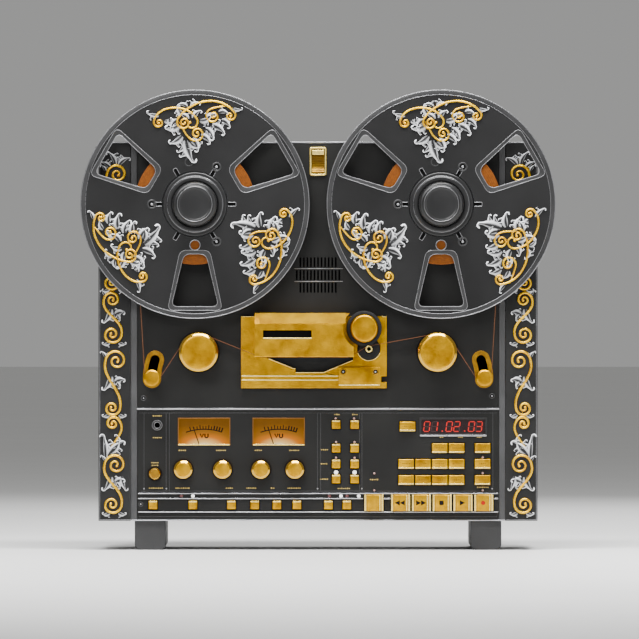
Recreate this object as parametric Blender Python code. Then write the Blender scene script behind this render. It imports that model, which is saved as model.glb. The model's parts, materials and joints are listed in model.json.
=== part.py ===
"""A reel-to-reel tape deck with two 10.5 inch reels, built piece by piece in Blender.

X runs to the right as the deck is seen from the front, Y away from the viewer and Z up. The origin is under
the middle of the deck, on the surface that it stands on. Lengths below are in millimetres, and MM turns them
into metres. "front" is a distance in front of the panels' front face, and a negative one lies behind it.
"""

import math

import bmesh
import bpy
from mathutils import Matrix, Vector
from mathutils.geometry import delaunay_2d_cdt

MM = 0.001
GAP = 0.3

# Overall
FRONT_REACH = 46.0
BODY_DEPTH = 200.0
PANEL_Y = FRONT_REACH - (FRONT_REACH + BODY_DEPTH) / 2
CASE_HALF_WIDTH = 218.0
CASE_BOTTOM = 34.0
CASE_TOP = 476.0
CHEEK_WIDTH = 38.0
CHEEK_DEPTH = 195.0
CHASSIS_DEPTH = 150.0

# Chassis frame and the two panels that it holds
SIDE_RAIL = 7.0
EDGE_RAIL = 2.0
SHELF_BOTTOM = 163.0
SHELF_TOP = 166.0
PANEL_THICKNESS = 4.0
PANEL_HALF_WIDTH = CASE_HALF_WIDTH - SIDE_RAIL

# Reels: 10.5 inch flanges on a 3 inch hub bore
REEL_X = 143.2
REEL_Z = 402.9
REEL_RADIUS = 133.35
REEL_BORE = 38.1
PACK_RADIUS = 70.3
TURNTABLE_FRONT = 11.7
BACK_FLANGE = (12.2, 13.3)
FRONT_FLANGE = (21.8, 22.9)
WINDOW_DIRECTIONS = (30, 150, 270)

# Tape and what it runs round
TAPE_BACK = 14.3
TAPE_FRONT = 20.65
TAPE_THICKNESS = 0.2
TAPE_CLEARANCE = 0.4
ARM_PIVOT = (122.8, 199.4)
ARM_ROLLER = (193.6, 200.7)
ARM_TRAVEL = 16.5
ARM_GROOVE = 7.7
GUIDE = (139.0, 230.9)
GUIDE_GROOVE = 21.0
HEAD_POSTS = ((-66.0, 228.0), (34.0, 228.0))
HEAD_POST_RADIUS = 3.0
CAPSTAN = (59.2, 234.5)
CAPSTAN_RADIUS = 3.2
PINCH = (53.6, 258.4)
PINCH_PIVOT = (68.1, 261.4)
PINCH_RADIUS = 20.5

# Head block
HEAD_PLATE_FRONT = 6.0
COVER_LEFT = -73.7
COVER_RIGHT = 41.6
COVER_BOTTOM = 225.2
COVER_FRONT = 38.0
COVER_NOTCH = 24.4
COVER_WALL = 2.0

# Control panel
RAILS_Z = (65.9, 60.0, 44.3)
RAIL_HEIGHT = 1.5
KNOBS_X = (-157.1, -111.4, -66.8, -27.1)
KNOBS_Z = 94.1
PITCH_KNOB = (-190.2, 89.1)
JACK = (-187.5, 145.6)
METERS_X = (-132.9, -45.9)
METERS_Z = 138.1
METER_WINDOW = (61.0, 32.3)
NEEDLE_PIVOT = (0.0, -32.0)
NEEDLE_LENGTH = 40.0
NEEDLE_LEAN = -19.0
DISPLAY = (119.7, 195.8, 134.8, 153.2)
SMALL_KEY = (10.2, 10.2)
WIDE_KEY = (18.0, 11.0)
KEY_CLEARANCE = 0.4
SELECTOR_KEYS = [(x, z) for x in (21.0, 42.6) for z in (146.3, 118.8, 100.4, 82.8)]
MODE_KEYS = [(x, 52.6) for x in (-192.5, -145.9, -101.0, -73.8, -48.0, -24.7, 12.0, 33.5)]
LOCATOR_COLUMNS = (102.7, 122.2, 141.8, 161.4, 191.7)
LOCATOR_KEYS = (
    [(104.2, 144.0)]
    + [(x, 118.8) for x in LOCATOR_COLUMNS[2:]]
    + [(x, z) for x in LOCATOR_COLUMNS for z in (100.4, 81.6)]
)
TRANSPORT_Z = 55.2
TRANSPORT_X = {
    "pause_key": 65.0,
    "rewind_key": 96.2,
    "fast_forward_key": 120.4,
    "stop_key": 144.6,
    "play_key": 168.8,
    "record_key": 193.0,
}
TRANSPORT_KEY = (22.5, 19.0)
TRANSPORT_STEM = (12.0, 8.0)
ROCKER_Z = 453.1
ROCKER_HOLE = (16.4, 30.4)

# Cooling slots in the deck plate: how many, and the bottom and top of each row
VENT_ROWS = ((11, 330.0, 341.4), (13, 314.8, 326.4), (11, 300.1, 311.7))
VENT_PITCH = 4.13
VENT_WIDTH = 2.0

MATERIALS = {
    "panel_black": ((0.035, 0.035, 0.037), 0.45, 0.6),
    "frame_grey": ((0.13, 0.13, 0.14), 0.4, 0.8),
    "cheek_black": ((0.02, 0.02, 0.022), 0.3, 0.0),
    "reel_black": ((0.03, 0.03, 0.032), 0.35, 0.7),
    "gold": ((0.83, 0.57, 0.12), 0.3, 1.0),
    "tape_brown": ((0.35, 0.13, 0.03), 0.5, 0.0),
    "rubber": ((0.015, 0.015, 0.015), 0.8, 0.0),
    "steel": ((0.55, 0.55, 0.57), 0.3, 1.0),
    "plastic_black": ((0.02, 0.02, 0.02), 0.5, 0.0),
    "dial_amber": ((0.9, 0.4, 0.06), 0.4, 0.0),
    "display_red": ((0.25, 0.01, 0.01), 0.2, 0.0),
    "board_green": ((0.03, 0.15, 0.06), 0.6, 0.0),
}


def clear_scene():
    for obj in list(bpy.data.objects):
        bpy.data.objects.remove(obj)


def material(name):
    found = bpy.data.materials.get(name)
    if found:
        return found
    colour, roughness, metallic = MATERIALS[name]
    made = bpy.data.materials.new(name)
    made.use_nodes = True
    shader = made.node_tree.nodes["Principled BSDF"]
    shader.inputs["Base Color"].default_value = (*colour, 1.0)
    shader.inputs["Roughness"].default_value = roughness
    shader.inputs["Metallic"].default_value = metallic
    return made


# ---- Outlines in the front view, as lists of (x, z) ----


def rectangle(x0, x1, z0, z1):
    return [(x0, z0), (x1, z0), (x1, z1), (x0, z1)]


def centred(size, x=0.0, z=0.0, grow=0.0):
    """A rectangle of this size about (x, z), larger by grow on every side."""
    half_width = size[0] / 2 + grow
    half_height = size[1] / 2 + grow
    return rectangle(x - half_width, x + half_width, z - half_height, z + half_height)


def arc(x, z, radius, start, end, steps):
    """Points from one angle to another, in degrees counterclockwise from +X."""
    angles = [math.radians(start + (end - start) * i / steps) for i in range(steps + 1)]
    return [(x + radius * math.cos(a), z + radius * math.sin(a)) for a in angles]


def circle(x, z, radius, steps):
    return arc(x, z, radius, 0, 360, steps)[:-1]


def rounded(corners, radius, steps):
    """An outline whose corners, given counterclockwise, are each replaced by an arc."""
    points = []
    for i, corner in enumerate(corners):
        here = Vector(corner)
        before = (Vector(corners[i - 1]) - here).normalized()
        after = (Vector(corners[(i + 1) % len(corners)]) - here).normalized()
        half_angle = before.angle(after) / 2
        inward = (before + after).normalized()
        centre = here + inward * radius / math.sin(half_angle)
        sweep = math.pi - 2 * half_angle
        middle = math.atan2(-inward.y, -inward.x)
        start, end = math.degrees(middle - sweep / 2), math.degrees(middle + sweep / 2)
        points += arc(centre.x, centre.y, radius, start, end, steps)
    return points


def capsule(start, end, radius, steps):
    """A bar with round ends between two points."""
    direction = math.degrees(math.atan2(end[1] - start[1], end[0] - start[0]))
    return arc(*start, radius, direction + 90, direction + 270, steps) + arc(
        *end, radius, direction - 90, direction + 90, steps
    )


def turned_outline(outline, degrees, about=(0.0, 0.0)):
    turn = Matrix.Rotation(math.radians(degrees), 2)
    return [tuple(turn @ (Vector(p) - Vector(about)) + Vector(about)) for p in outline]


def mirrored(outline):
    return [(-x, z) for x, z in reversed(outline)]


# ---- Solids ----


def add_object(name, mesh, colour, x=0.0, z=0.0, front=0.0):
    """Links an object whose mesh is built about the point (x, front, z)."""
    obj = bpy.data.objects.new(name, mesh)
    obj.location = (x * MM, (PANEL_Y - front) * MM, z * MM)
    mesh.materials.append(material(colour))
    bpy.context.scene.collection.objects.link(obj)
    return obj


def finished_mesh(name, bm, smooth_angle=None):
    bmesh.ops.remove_doubles(bm, verts=bm.verts, dist=1e-7)
    bmesh.ops.recalc_face_normals(bm, faces=bm.faces)
    mesh = bpy.data.meshes.new(name)
    bm.to_mesh(mesh)
    bm.free()
    if smooth_angle:
        mesh.shade_smooth()
        mesh.set_sharp_from_angle(angle=math.radians(smooth_angle))
    return mesh


def inside(outline, x, z):
    """Whether a point lies inside a closed outline, by counting the edges to its right."""
    crossings = 0
    for (x0, z0), (x1, z1) in zip(outline, outline[1:] + outline[:1]):
        if (z0 > z) != (z1 > z) and x < x0 + (z - z0) * (x1 - x0) / (z1 - z0):
            crossings += 1
    return crossings % 2 == 1


def plate_mesh(name, outlines, thickness):
    """A flat plate about Y = 0. The first outline is its edge, and the others are holes."""
    corners = []
    edges = []
    for outline in outlines:
        first = len(corners)
        edges += [(first + i, first + (i + 1) % len(outline)) for i in range(len(outline))]
        corners += [Vector(point) for point in outline]
    points, _, faces, *_ = delaunay_2d_cdt(corners, edges, [], 0, 1e-4)
    bm = bmesh.new()
    verts = [bm.verts.new((point.x * MM, thickness / 2 * MM, point.y * MM)) for point in points]
    for face in faces:
        middle = sum((points[i] for i in face), Vector((0, 0))) / 3
        if sum(inside(outline, *middle) for outline in outlines) == 1:
            bm.faces.new([verts[i] for i in face])
    drawn = bmesh.ops.extrude_face_region(bm, geom=bm.faces[:])["geom"]
    front_verts = [item for item in drawn if isinstance(item, bmesh.types.BMVert)]
    bmesh.ops.translate(bm, verts=front_verts, vec=(0, -thickness * MM, 0))
    return finished_mesh(name, bm)


def plate(name, outlines, back, front, colour, x=0.0, z=0.0):
    """A plate between two distances to the front, whose outlines are given relative to (x, z)."""
    mesh = plate_mesh(name, outlines, front - back)
    return add_object(name, mesh, colour, x, z, (front + back) / 2)


def turned_mesh(name, profile, steps):
    """A solid turned about Y from (radius, front) points, with a bore when no point is on the axis."""
    bm = bmesh.new()
    rings = []
    for radius, front in profile:
        around = circle(0, 0, radius * MM, steps) if radius else [(0, 0)]
        ring = [bm.verts.new((x, -front * MM, z)) for x, z in around]
        rings.append(ring if radius else ring * steps)
    solid_core = profile[0][0] == 0
    for near, far in zip(rings, rings[1:] if solid_core else rings[1:] + rings[:1]):
        for i in range(steps):
            j = (i + 1) % steps
            corners = list(dict.fromkeys((near[i], near[j], far[j], far[i])))
            if len(corners) > 2:
                bm.faces.new(corners)
    return finished_mesh(name, bm, smooth_angle=35)


def turned(name, profile, centre, colour, steps):
    return add_object(name, turned_mesh(name, profile, steps), colour, *centre)


def add_block(bm, x0, x1, back, front, z0, z1, taper=0.0):
    """A box in bm, whose front face is smaller by taper on every side."""
    far = rectangle(x0, x1, z0, z1)
    near = rectangle(x0 + taper, x1 - taper, z0 + taper, z1 - taper)
    back_corners = [bm.verts.new((x * MM, -back * MM, z * MM)) for x, z in far]
    front_corners = [bm.verts.new((x * MM, -front * MM, z * MM)) for x, z in near]
    bm.faces.new(back_corners)
    bm.faces.new(front_corners)
    for i in range(4):
        j = (i + 1) % 4
        bm.faces.new((back_corners[i], back_corners[j], front_corners[j], front_corners[i]))


def blocks(name, boxes, colour, x=0.0, z=0.0):
    """One object of boxes, each (x0, x1, back, front, z0, z1) with an optional taper."""
    bm = bmesh.new()
    for box in boxes:
        add_block(bm, *box)
    return add_object(name, finished_mesh(name, bm), colour, x, z)


def extruded_across(name, profile, x0, x1, colour, x=0.0, z=0.0):
    """A solid with the same (front, z) profile from x0 to x1."""
    bm = bmesh.new()
    ends = []
    for side in (x0, x1):
        ends.append([bm.verts.new((side * MM, -front * MM, height * MM)) for front, height in profile])
        bm.faces.new(ends[-1])
    for i in range(len(profile)):
        j = (i + 1) % len(profile)
        bm.faces.new((ends[0][i], ends[0][j], ends[1][j], ends[1][i]))
    return add_object(name, finished_mesh(name, bm), colour, x, z)


def combine(target, tool, operation):
    """Cuts or joins with a helper, which isn't a piece of the deck."""
    modifier = target.modifiers.new(operation.title(), "BOOLEAN")
    modifier.operation = operation
    modifier.object = tool
    tool.hide_render = True
    tool.display_type = "WIRE"
    return target


def cut(target, tool):
    return combine(target, tool, "DIFFERENCE")


def join(target, tool):
    return combine(target, tool, "UNION")


# ---- Case ----


def make_case():
    plate(
        "chassis_frame",
        [
            rectangle(-CASE_HALF_WIDTH, CASE_HALF_WIDTH, CASE_BOTTOM, CASE_TOP),
            rectangle(-PANEL_HALF_WIDTH, PANEL_HALF_WIDTH, SHELF_TOP, CASE_TOP - EDGE_RAIL),
            rectangle(-PANEL_HALF_WIDTH, PANEL_HALF_WIDTH, CASE_BOTTOM + EDGE_RAIL, SHELF_BOTTOM),
        ],
        GAP - CHASSIS_DEPTH,
        0.0,
        "frame_grey",
    )
    for side, sign in (("left", -1), ("right", 1)):
        inner = CASE_HALF_WIDTH + GAP
        x0, x1 = sorted((sign * inner, sign * (CASE_HALF_WIDTH + CHEEK_WIDTH)))
        blocks("side_cheek_" + side, [(x0, x1, -CHEEK_DEPTH, 0.0, CASE_BOTTOM, CASE_TOP)], "cheek_black")
        make_foot(side, sign)
    make_rear_cover()


def make_foot(side, sign):
    """A block foot that runs from front to back under the case."""
    half_width = 18.0
    corner = 6.0
    top = CASE_BOTTOM - GAP
    outline = (
        [(half_width, top), (-half_width, top)]
        + arc(corner - half_width, corner, corner, 180, 270, 5)
        + arc(half_width - corner, corner, corner, 270, 360, 5)
    )
    plate("foot_" + side, [outline], -185.0, -10.0, "rubber", x=sign * 196.0)


def make_rear_cover():
    """A shallow box that closes the back, with slots for air and an opening for the connectors."""
    wall = 2.5
    edge, low, high = CASE_HALF_WIDTH - GAP, CASE_BOTTOM + GAP, CASE_TOP - GAP
    outside = (-edge, edge, -BODY_DEPTH, -CHASSIS_DEPTH, low, high)
    inside_space = (wall - edge, edge - wall, wall - BODY_DEPTH, 1 - CHASSIS_DEPTH, low + wall, high - wall)
    through = (-BODY_DEPTH - 1, wall - BODY_DEPTH + 1)
    slots = [
        (x - 22.0, x + 22.0, *through, z, z + 3.6)
        for x in (-120.0, 0.0, 120.0)
        for z in (340.0, 352.0, 364.0, 376.0)
    ]
    cover = blocks("rear_cover", [outside], "panel_black")
    cut(cover, blocks("rear_cover_inside", [inside_space], "panel_black"))
    cut(cover, blocks("rear_cover_cutouts", [(-118.0, 118.0, *through, 64.0, 126.0)] + slots, "panel_black"))
    make_connector_panel(wall)


def make_connector_panel(wall):
    """The plate behind the rear cover's opening, with the mains inlet and the signal sockets' collars."""
    back = wall - BODY_DEPTH + GAP
    panel = blocks("connector_panel", [(-128.0, 128.0, back, back + 2.5, 56.0, 134.0)], "plastic_black")
    inlet = (-96.0, -62.0, back + 0.5, back + 24.0, 82.0, 108.0)
    join(panel, blocks("inlet_body", [inlet], "plastic_black"))
    collars = [
        (x - 4.2, x + 4.2, back - 2.3, back + 1.0, z - 4.2, z + 4.2)
        for x in (20.0, 50.0, 80.0, 105.0)
        for z in (82.0, 108.0)
    ]
    join(panel, blocks("jack_collars", collars, "steel"))
    pocket = (-92.5, -65.5, back - 1.0, back + 16.0, 85.25, 104.75)
    cut(panel, blocks("inlet_pocket", [pocket], "plastic_black"))


# ---- Front panels ----


def arm_slot_outline():
    """The curved slot that the right-hand tension arm's post sweeps."""
    half_width = 5.35
    reach = math.dist(ARM_PIVOT, ARM_ROLLER)
    rest = math.degrees(math.atan2(ARM_ROLLER[1] - ARM_PIVOT[1], ARM_ROLLER[0] - ARM_PIVOT[0]))
    low = rest - 1.0
    high = rest + ARM_TRAVEL + 1.0
    ends = arc(*ARM_PIVOT, reach, low, high, 1)
    return (
        arc(*ARM_PIVOT, reach + half_width, low, high, 4)
        + arc(*ends[1], half_width, high, high + 180, 6)[1:-1]
        + arc(*ARM_PIVOT, reach - half_width, high, low, 4)
        + arc(*ends[0], half_width, low + 180, low + 360, 6)[1:-1]
    )


def make_deck_plate():
    holes = [arm_slot_outline(), mirrored(arm_slot_outline())]
    for sign in (-1, 1):
        holes.append(circle(sign * REEL_X, REEL_Z, 8.0, 20))
        holes.append(circle(sign * GUIDE[0], GUIDE[1], 4.0, 16))
    holes.append(circle(*CAPSTAN, 8.4, 20))
    holes.append(circle(*PINCH_PIVOT, 3.6, 16))
    holes.append(centred(ROCKER_HOLE, z=ROCKER_Z))
    for count, bottom, top in VENT_ROWS:
        first = -VENT_PITCH * (count - 1) / 2
        holes += [
            rectangle(x - VENT_WIDTH / 2, x + VENT_WIDTH / 2, bottom, top)
            for x in (first + VENT_PITCH * i for i in range(count))
        ]
    edge = PANEL_HALF_WIDTH - GAP
    outline = rectangle(-edge, edge, SHELF_TOP + GAP, CASE_TOP - EDGE_RAIL - GAP)
    plate("deck_plate", [outline] + holes, -PANEL_THICKNESS, 0.0, "panel_black")


def make_control_panel():
    holes = [centred(METER_WINDOW, x, METERS_Z) for x in METERS_X]
    holes.append(rectangle(*DISPLAY))
    holes += [circle(x, KNOBS_Z, 3.6, 12) for x in KNOBS_X]
    holes.append(circle(*PITCH_KNOB, 3.6, 12))
    holes.append(circle(*JACK, 4.6, 16))
    holes += [centred(SMALL_KEY, x, z, KEY_CLEARANCE) for x, z in SELECTOR_KEYS + MODE_KEYS]
    holes += [centred(WIDE_KEY, x, z, KEY_CLEARANCE) for x, z in LOCATOR_KEYS]
    holes += [centred(TRANSPORT_STEM, x, TRANSPORT_Z, KEY_CLEARANCE) for x in TRANSPORT_X.values()]
    edge = PANEL_HALF_WIDTH - GAP
    outline = rectangle(-edge, edge, CASE_BOTTOM + EDGE_RAIL + GAP, SHELF_BOTTOM - GAP)
    panel = plate("control_panel", [outline] + holes, -PANEL_THICKNESS, 0.0, "panel_black")
    # The middle rail would cross the transport keys' stems, so it stops short of them.
    end = edge - 0.5
    rail_ends = (end, TRANSPORT_X["pause_key"] - TRANSPORT_KEY[0] / 2, end)
    for number, (z, right) in enumerate(zip(RAILS_Z, rail_ends)):
        rail = (-end, right, -1.0, RAIL_HEIGHT, z - 0.9, z + 0.9)
        join(panel, blocks(f"panel_rail_{number}", [rail], "steel"))


def make_meter(side, x):
    """A tray for the dial, with a narrow neck below that holds the needle's pivot."""
    half_width, half_height = METER_WINDOW[0] / 2, METER_WINDOW[1] / 2
    pivot_x, pivot_z = NEEDLE_PIVOT
    front = -PANEL_THICKNESS - GAP
    margin = 3.5
    neck = 18.0
    low = pivot_z - 6.0
    outline = [
        (-half_width - margin, -half_height - margin),
        (pivot_x - neck - 2, -half_height - margin),
        (pivot_x - neck - 2, low),
        (pivot_x + neck + 2, low),
        (pivot_x + neck + 2, -half_height - margin),
        (half_width + margin, -half_height - margin),
        (half_width + margin, half_height + margin),
        (-half_width - margin, half_height + margin),
    ]
    meter = plate("vu_meter_" + side, [outline], -26.0, front, "dial_amber", x, METERS_Z)
    well = [
        (-half_width, -half_height),
        (pivot_x - neck, -half_height),
        (pivot_x - neck, low + 2),
        (pivot_x + neck, low + 2),
        (pivot_x + neck, -half_height),
        (half_width, -half_height),
        (half_width, half_height),
        (-half_width, half_height),
    ]
    cut(meter, plate("meter_well_" + side, [well], -12.0, front + 1, "dial_amber", x, METERS_Z))

    make_needle(side, (x + pivot_x, METERS_Z + pivot_z))


def make_needle(side, pivot):
    blade = [(-0.7, 0.0), (0.7, 0.0), (0.3, NEEDLE_LENGTH), (-0.3, NEEDLE_LENGTH)]
    leaning = turned_outline(blade, -NEEDLE_LEAN)
    needle = plate("vu_needle_" + side, [leaning], -8.6, -8.0, "plastic_black", *pivot)
    hub = [(0, -7.0), (3.0, -7.0), (3.0, -9.6), (0, -9.6)]
    join(needle, turned("needle_hub_" + side, hub, pivot, "steel", 12))


def make_display():
    x0, x1, z0, z1 = DISPLAY
    edge = KEY_CLEARANCE
    blocks("counter_display", [(x0 + edge, x1 - edge, -20.0, -1.2, z0 + edge, z1 - edge)], "display_red")


def make_jack():
    profile = [(0, -18), (4.2, -18), (4.2, GAP), (6.0, GAP), (6.0, 2.5), (3.3, 2.5), (3.3, -16), (0, -16)]
    turned("phones_jack", profile, JACK, "steel", 20)


# ---- Controls ----


def make_knobs():
    for number, x in enumerate(KNOBS_X, 1):
        profile = [(0, -14), (3.0, -14), (3.0, 1.5), (10.7, 1.5), (10.7, 12.6), (9.2, 14.5), (0, 14.5)]
        turned(f"level_knob_{number}", profile, (x, KNOBS_Z), "gold", 20)
    profile = [(0, -12), (3.0, -12), (3.0, 1.2), (7.0, 1.2), (7.0, 9.0), (6.2, 10.0), (0, 10.0)]
    turned("pitch_knob", profile, PITCH_KNOB, "gold", 18)


def make_rocker():
    """A rocker whose face is hollowed, with a lip at its top."""
    hollow = [(1.9 - 2.0 * math.cos(math.pi * t / 22.0), t) for t in (-9.0, -5.0, 0.0, 5.0, 9.0)]
    profile = [(-5.0, -11.5), (2.4, -14.0)] + hollow + [(4.4, 10.5), (4.6, 13.6), (-5.0, 11.5)]
    extruded_across("power_rocker", profile, -7.4, 7.4, "gold", 0.0, ROCKER_Z)


def make_transport_keys():
    width, height = TRANSPORT_KEY
    stem_width, stem_height = TRANSPORT_STEM
    for name, x in TRANSPORT_X.items():
        cap = (-width / 2, width / 2, 4.0, 11.0, -height / 2, height / 2, 0.8)
        key = blocks(name, [cap], "gold", x, TRANSPORT_Z)
        stem = (-stem_width / 2, stem_width / 2, -12.0, 5.0, -stem_height / 2, stem_height / 2)
        join(key, blocks(name + "_stem", [stem], "gold", x, TRANSPORT_Z))


def make_keypad(name, keys, size, carrier):
    """Key tops that stand through the control panel, moulded on one flexible carrier behind it."""
    pad = plate(name, [carrier], -10.0, -8.0, "gold")
    half_width, half_height = size[0] / 2, size[1] / 2
    tops = [
        (x - half_width, x + half_width, -9.0, 3.2, z - half_height, z + half_height, 0.5) for x, z in keys
    ]
    join(pad, blocks(name + "_tops", tops, "gold"))


def make_keypads():
    make_keypad("selector_keypad", SELECTOR_KEYS, SMALL_KEY, rectangle(13.0, 50.6, 75.0, 154.0))
    make_keypad("mode_keypad", MODE_KEYS, SMALL_KEY, rectangle(-200.0, 41.0, 46.4, 58.8))
    locator_carrier = [
        (92.0, 74.5),
        (202.0, 74.5),
        (202.0, 126.0),
        (115.0, 126.0),
        (115.0, 151.0),
        (92.0, 151.0),
    ]
    make_keypad("locator_keypad", LOCATOR_KEYS, WIDE_KEY, locator_carrier)


# ---- Reels ----


def window_outline(direction):
    """One hand hole in a flange: a trapezium with round corners, widest at the rim."""
    corners = [(-32.0, -123.5), (32.0, -123.5), (17.4, -53.5), (-17.4, -53.5)]
    return turned_outline(rounded(corners, 5.5, 3), direction - 270)


def notched_bore():
    """The centre hole with its six keyways."""
    half_width, depth = 2.1, 47.5
    swing = math.degrees(math.asin(half_width / REEL_BORE))
    keyway = [
        (REEL_BORE + 1.0, -half_width),
        (depth, -half_width),
        (depth, half_width),
        (REEL_BORE + 1.0, half_width),
    ]
    outline = []
    for middle in range(0, 360, 60):
        outline += turned_outline(keyway, middle)
        outline += arc(0, 0, REEL_BORE, middle + swing, middle + 60 - swing, 5)
    return outline


def make_reel(side, sign):
    centre = (sign * REEL_X, REEL_Z)
    windows = [window_outline(d) for d in WINDOW_DIRECTIONS]
    rim = circle(0, 0, REEL_RADIUS, 54)
    threading_hole = circle(0, -47.5, 5.3, 16)
    front_outlines = [rim, notched_bore(), threading_hole] + windows
    plate("reel_front_flange_" + side, front_outlines, *FRONT_FLANGE, "reel_black", *centre)

    core_outlines = [rim, circle(0, 0, REEL_BORE, 36)] + windows
    core = plate("reel_core_" + side, core_outlines, *BACK_FLANGE, "reel_black", *centre)
    bore = REEL_BORE + 0.2
    hub_back, hub_front = BACK_FLANGE[0] + 0.5, FRONT_FLANGE[0] - 0.4
    hub = [(bore, hub_back), (53.0, hub_back), (53.0, hub_front), (bore, hub_front)]
    join(core, turned("hub_ring_" + side, hub, centre, "steel", 30))
    pack = [(53.4, 14.2), (PACK_RADIUS, 14.2), (PACK_RADIUS, 20.7), (53.4, 20.7)]
    turned("tape_pack_" + side, pack, centre, "tape_brown", 44)


def make_drive(side, sign):
    """Motor, spindle and the adapter that grips a reel's large bore."""
    centre = (sign * REEL_X, REEL_Z)
    motor = [(4.4, -74.0), (48.0, -74.0), (48.0, -14.0), (22.0, -14.0), (22.0, -4.3), (4.4, -4.3)]
    turned("reel_motor_" + side, motor, centre, "steel", 24)
    spindle = [
        (0, -70.0),
        (4.0, -70.0),
        (4.0, 6.0),
        (46.0, 6.0),
        (46.0, TURNTABLE_FRONT),
        (8.0, TURNTABLE_FRONT),
        (8.0, 30.0),
        (0, 30.0),
    ]
    turned("reel_spindle_" + side, spindle, centre, "steel", 28)
    adapter = [(8.4, 12.2), (37.6, 12.2), (37.6, 23.4), (32.8, 23.4), (32.8, 28.8), (31.4, 30.0), (8.4, 30.0)]
    turned("hub_adapter_" + side, adapter, centre, "reel_black", 30)
    knob = [(0, 30.4), (25.6, 30.4), (25.6, 40.5), (20.7, 45.0), (19.5, FRONT_REACH), (0, FRONT_REACH)]
    turned("lock_knob_" + side, knob, centre, "reel_black", 28)


# ---- Tape transport ----


def make_tension_arm(side, sign):
    pivot = (sign * ARM_PIVOT[0], ARM_PIVOT[1])
    reach = (sign * (ARM_ROLLER[0] - ARM_PIVOT[0]), ARM_ROLLER[1] - ARM_PIVOT[1])
    roller = (sign * ARM_ROLLER[0], ARM_ROLLER[1])
    arm = plate("tension_arm_" + side, [capsule((0, 0), reach, 6.0, 6)], -11.0, -7.0, "steel", *pivot)
    join(arm, turned("arm_boss_" + side, [(0, -16), (5, -16), (5, -5), (0, -5)], pivot, "steel", 16))
    join(arm, turned("arm_post_" + side, [(0, -10), (2.6, -10), (2.6, 23), (0, 23)], roller, "steel", 16))
    profile = [
        (0, 23.5),
        (2.9, 23.5),
        (2.9, 11.0),
        (9.8, 11.0),
        (9.8, 13.2),
        (ARM_GROOVE, 13.9),
        (ARM_GROOVE, 21.0),
        (9.8, 21.8),
        (9.8, 25.0),
        (8.8, 26.0),
        (0, 26.0),
    ]
    turned("tension_roller_" + side, profile, roller, "gold", 18)


def make_guide_roller(side, sign):
    profile = [
        (0, -20.0),
        (3.5, -20.0),
        (3.5, 11.0),
        (22.7, 11.0),
        (22.7, 13.2),
        (GUIDE_GROOVE, 13.9),
        (GUIDE_GROOVE, 21.0),
        (22.7, 21.8),
        (22.7, 25.0),
        (20.7, 27.0),
        (0, 27.0),
    ]
    turned("guide_roller_" + side, profile, (sign * GUIDE[0], GUIDE[1]), "gold", 28)


def make_head_plate():
    """The plate under the heads, with a splicing groove and a clamp block at its right."""
    window = [
        (-60.7, 235.0),
        (-60.7, COVER_BOTTOM),
        (-26.8, 211.3),
        (-26.2, 207.3),
        (6.5, 207.3),
        (41.0, 221.8),
        (41.0, 235.0),
    ]
    outlines = [
        rectangle(-89.8, 80.0, 188.8, 272.7),
        window,
        circle(*CAPSTAN, 13.4, 24),
        circle(*PINCH_PIVOT, 3.6, 16),
    ]
    head_plate = plate("head_plate", outlines, GAP, HEAD_PLATE_FRONT, "gold")
    groove = (-95.0, 90.0, HEAD_PLATE_FRONT - 1.2, 8.0, 198.4, 202.8)
    clamp = (23.8, 72.5, HEAD_PLATE_FRONT - 2, 10.0, 191.8, 213.5, 0.4)
    cut(head_plate, blocks("splicing_groove", [groove], "gold"))
    join(head_plate, blocks("clamp_block", [clamp], "gold"))


def make_head_stack():
    """Three heads and two tape guides on one base plate."""
    base = [(-70.0, 226.0), (37.5, 226.0), (37.5, 234.0), (26.6, 245.0), (26.6, 262.0), (-70.0, 262.0)]
    stack = plate("head_stack", [base], HEAD_PLATE_FRONT + GAP, 10.0, "steel")
    heads = [(x - 9.0, x + 9.0, 9.0, 27.0, 225.2, 248.0) for x in (-43.0, -15.0, 13.0)]
    join(stack, blocks("heads", heads, "steel"))
    for number, post in enumerate(HEAD_POSTS):
        profile = [(0, 9.0), (HEAD_POST_RADIUS, 9.0), (HEAD_POST_RADIUS, 24.0), (0, 24.0)]
        join(stack, turned(f"guide_post_{number}", profile, post, "steel", 16))


def cover_body(name, wall):
    """The cover's outside, or with a wall thickness the space inside it."""
    back = HEAD_PLATE_FRONT + 0.8 - (2.0 if wall else 0.0)
    bottom = COVER_BOTTOM - (2.0 if wall else 0.0)
    front = COVER_FRONT - wall
    shoulder, top, slope = 263.8 - wall / 2, 276.3 - wall, 16.0
    profile = [(back, bottom), (front, bottom), (front, shoulder), (front - slope, top), (back, top)]
    body = extruded_across(name, profile, COVER_LEFT + wall, COVER_RIGHT - wall, "gold")
    notch = [(0, -5.0), (COVER_NOTCH + wall, -5.0), (COVER_NOTCH + wall, 60.0), (0, 60.0)]
    return cut(body, turned(name + "_notch", notch, PINCH, "gold", 48))


def make_head_cover():
    cover = cover_body("head_cover", 0.0)
    cut(cover, cover_body("head_cover_inside", COVER_WALL))
    tape_way = (COVER_LEFT - 5, COVER_RIGHT + 5, 0.0, 23.0, 215.0, 233.0)
    front_slot = (-63.9, -7.5, COVER_FRONT - 5, COVER_FRONT + 5, 247.7, 256.3)
    cut(cover, blocks("head_cover_openings", [tape_way, front_slot], "gold"))


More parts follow.
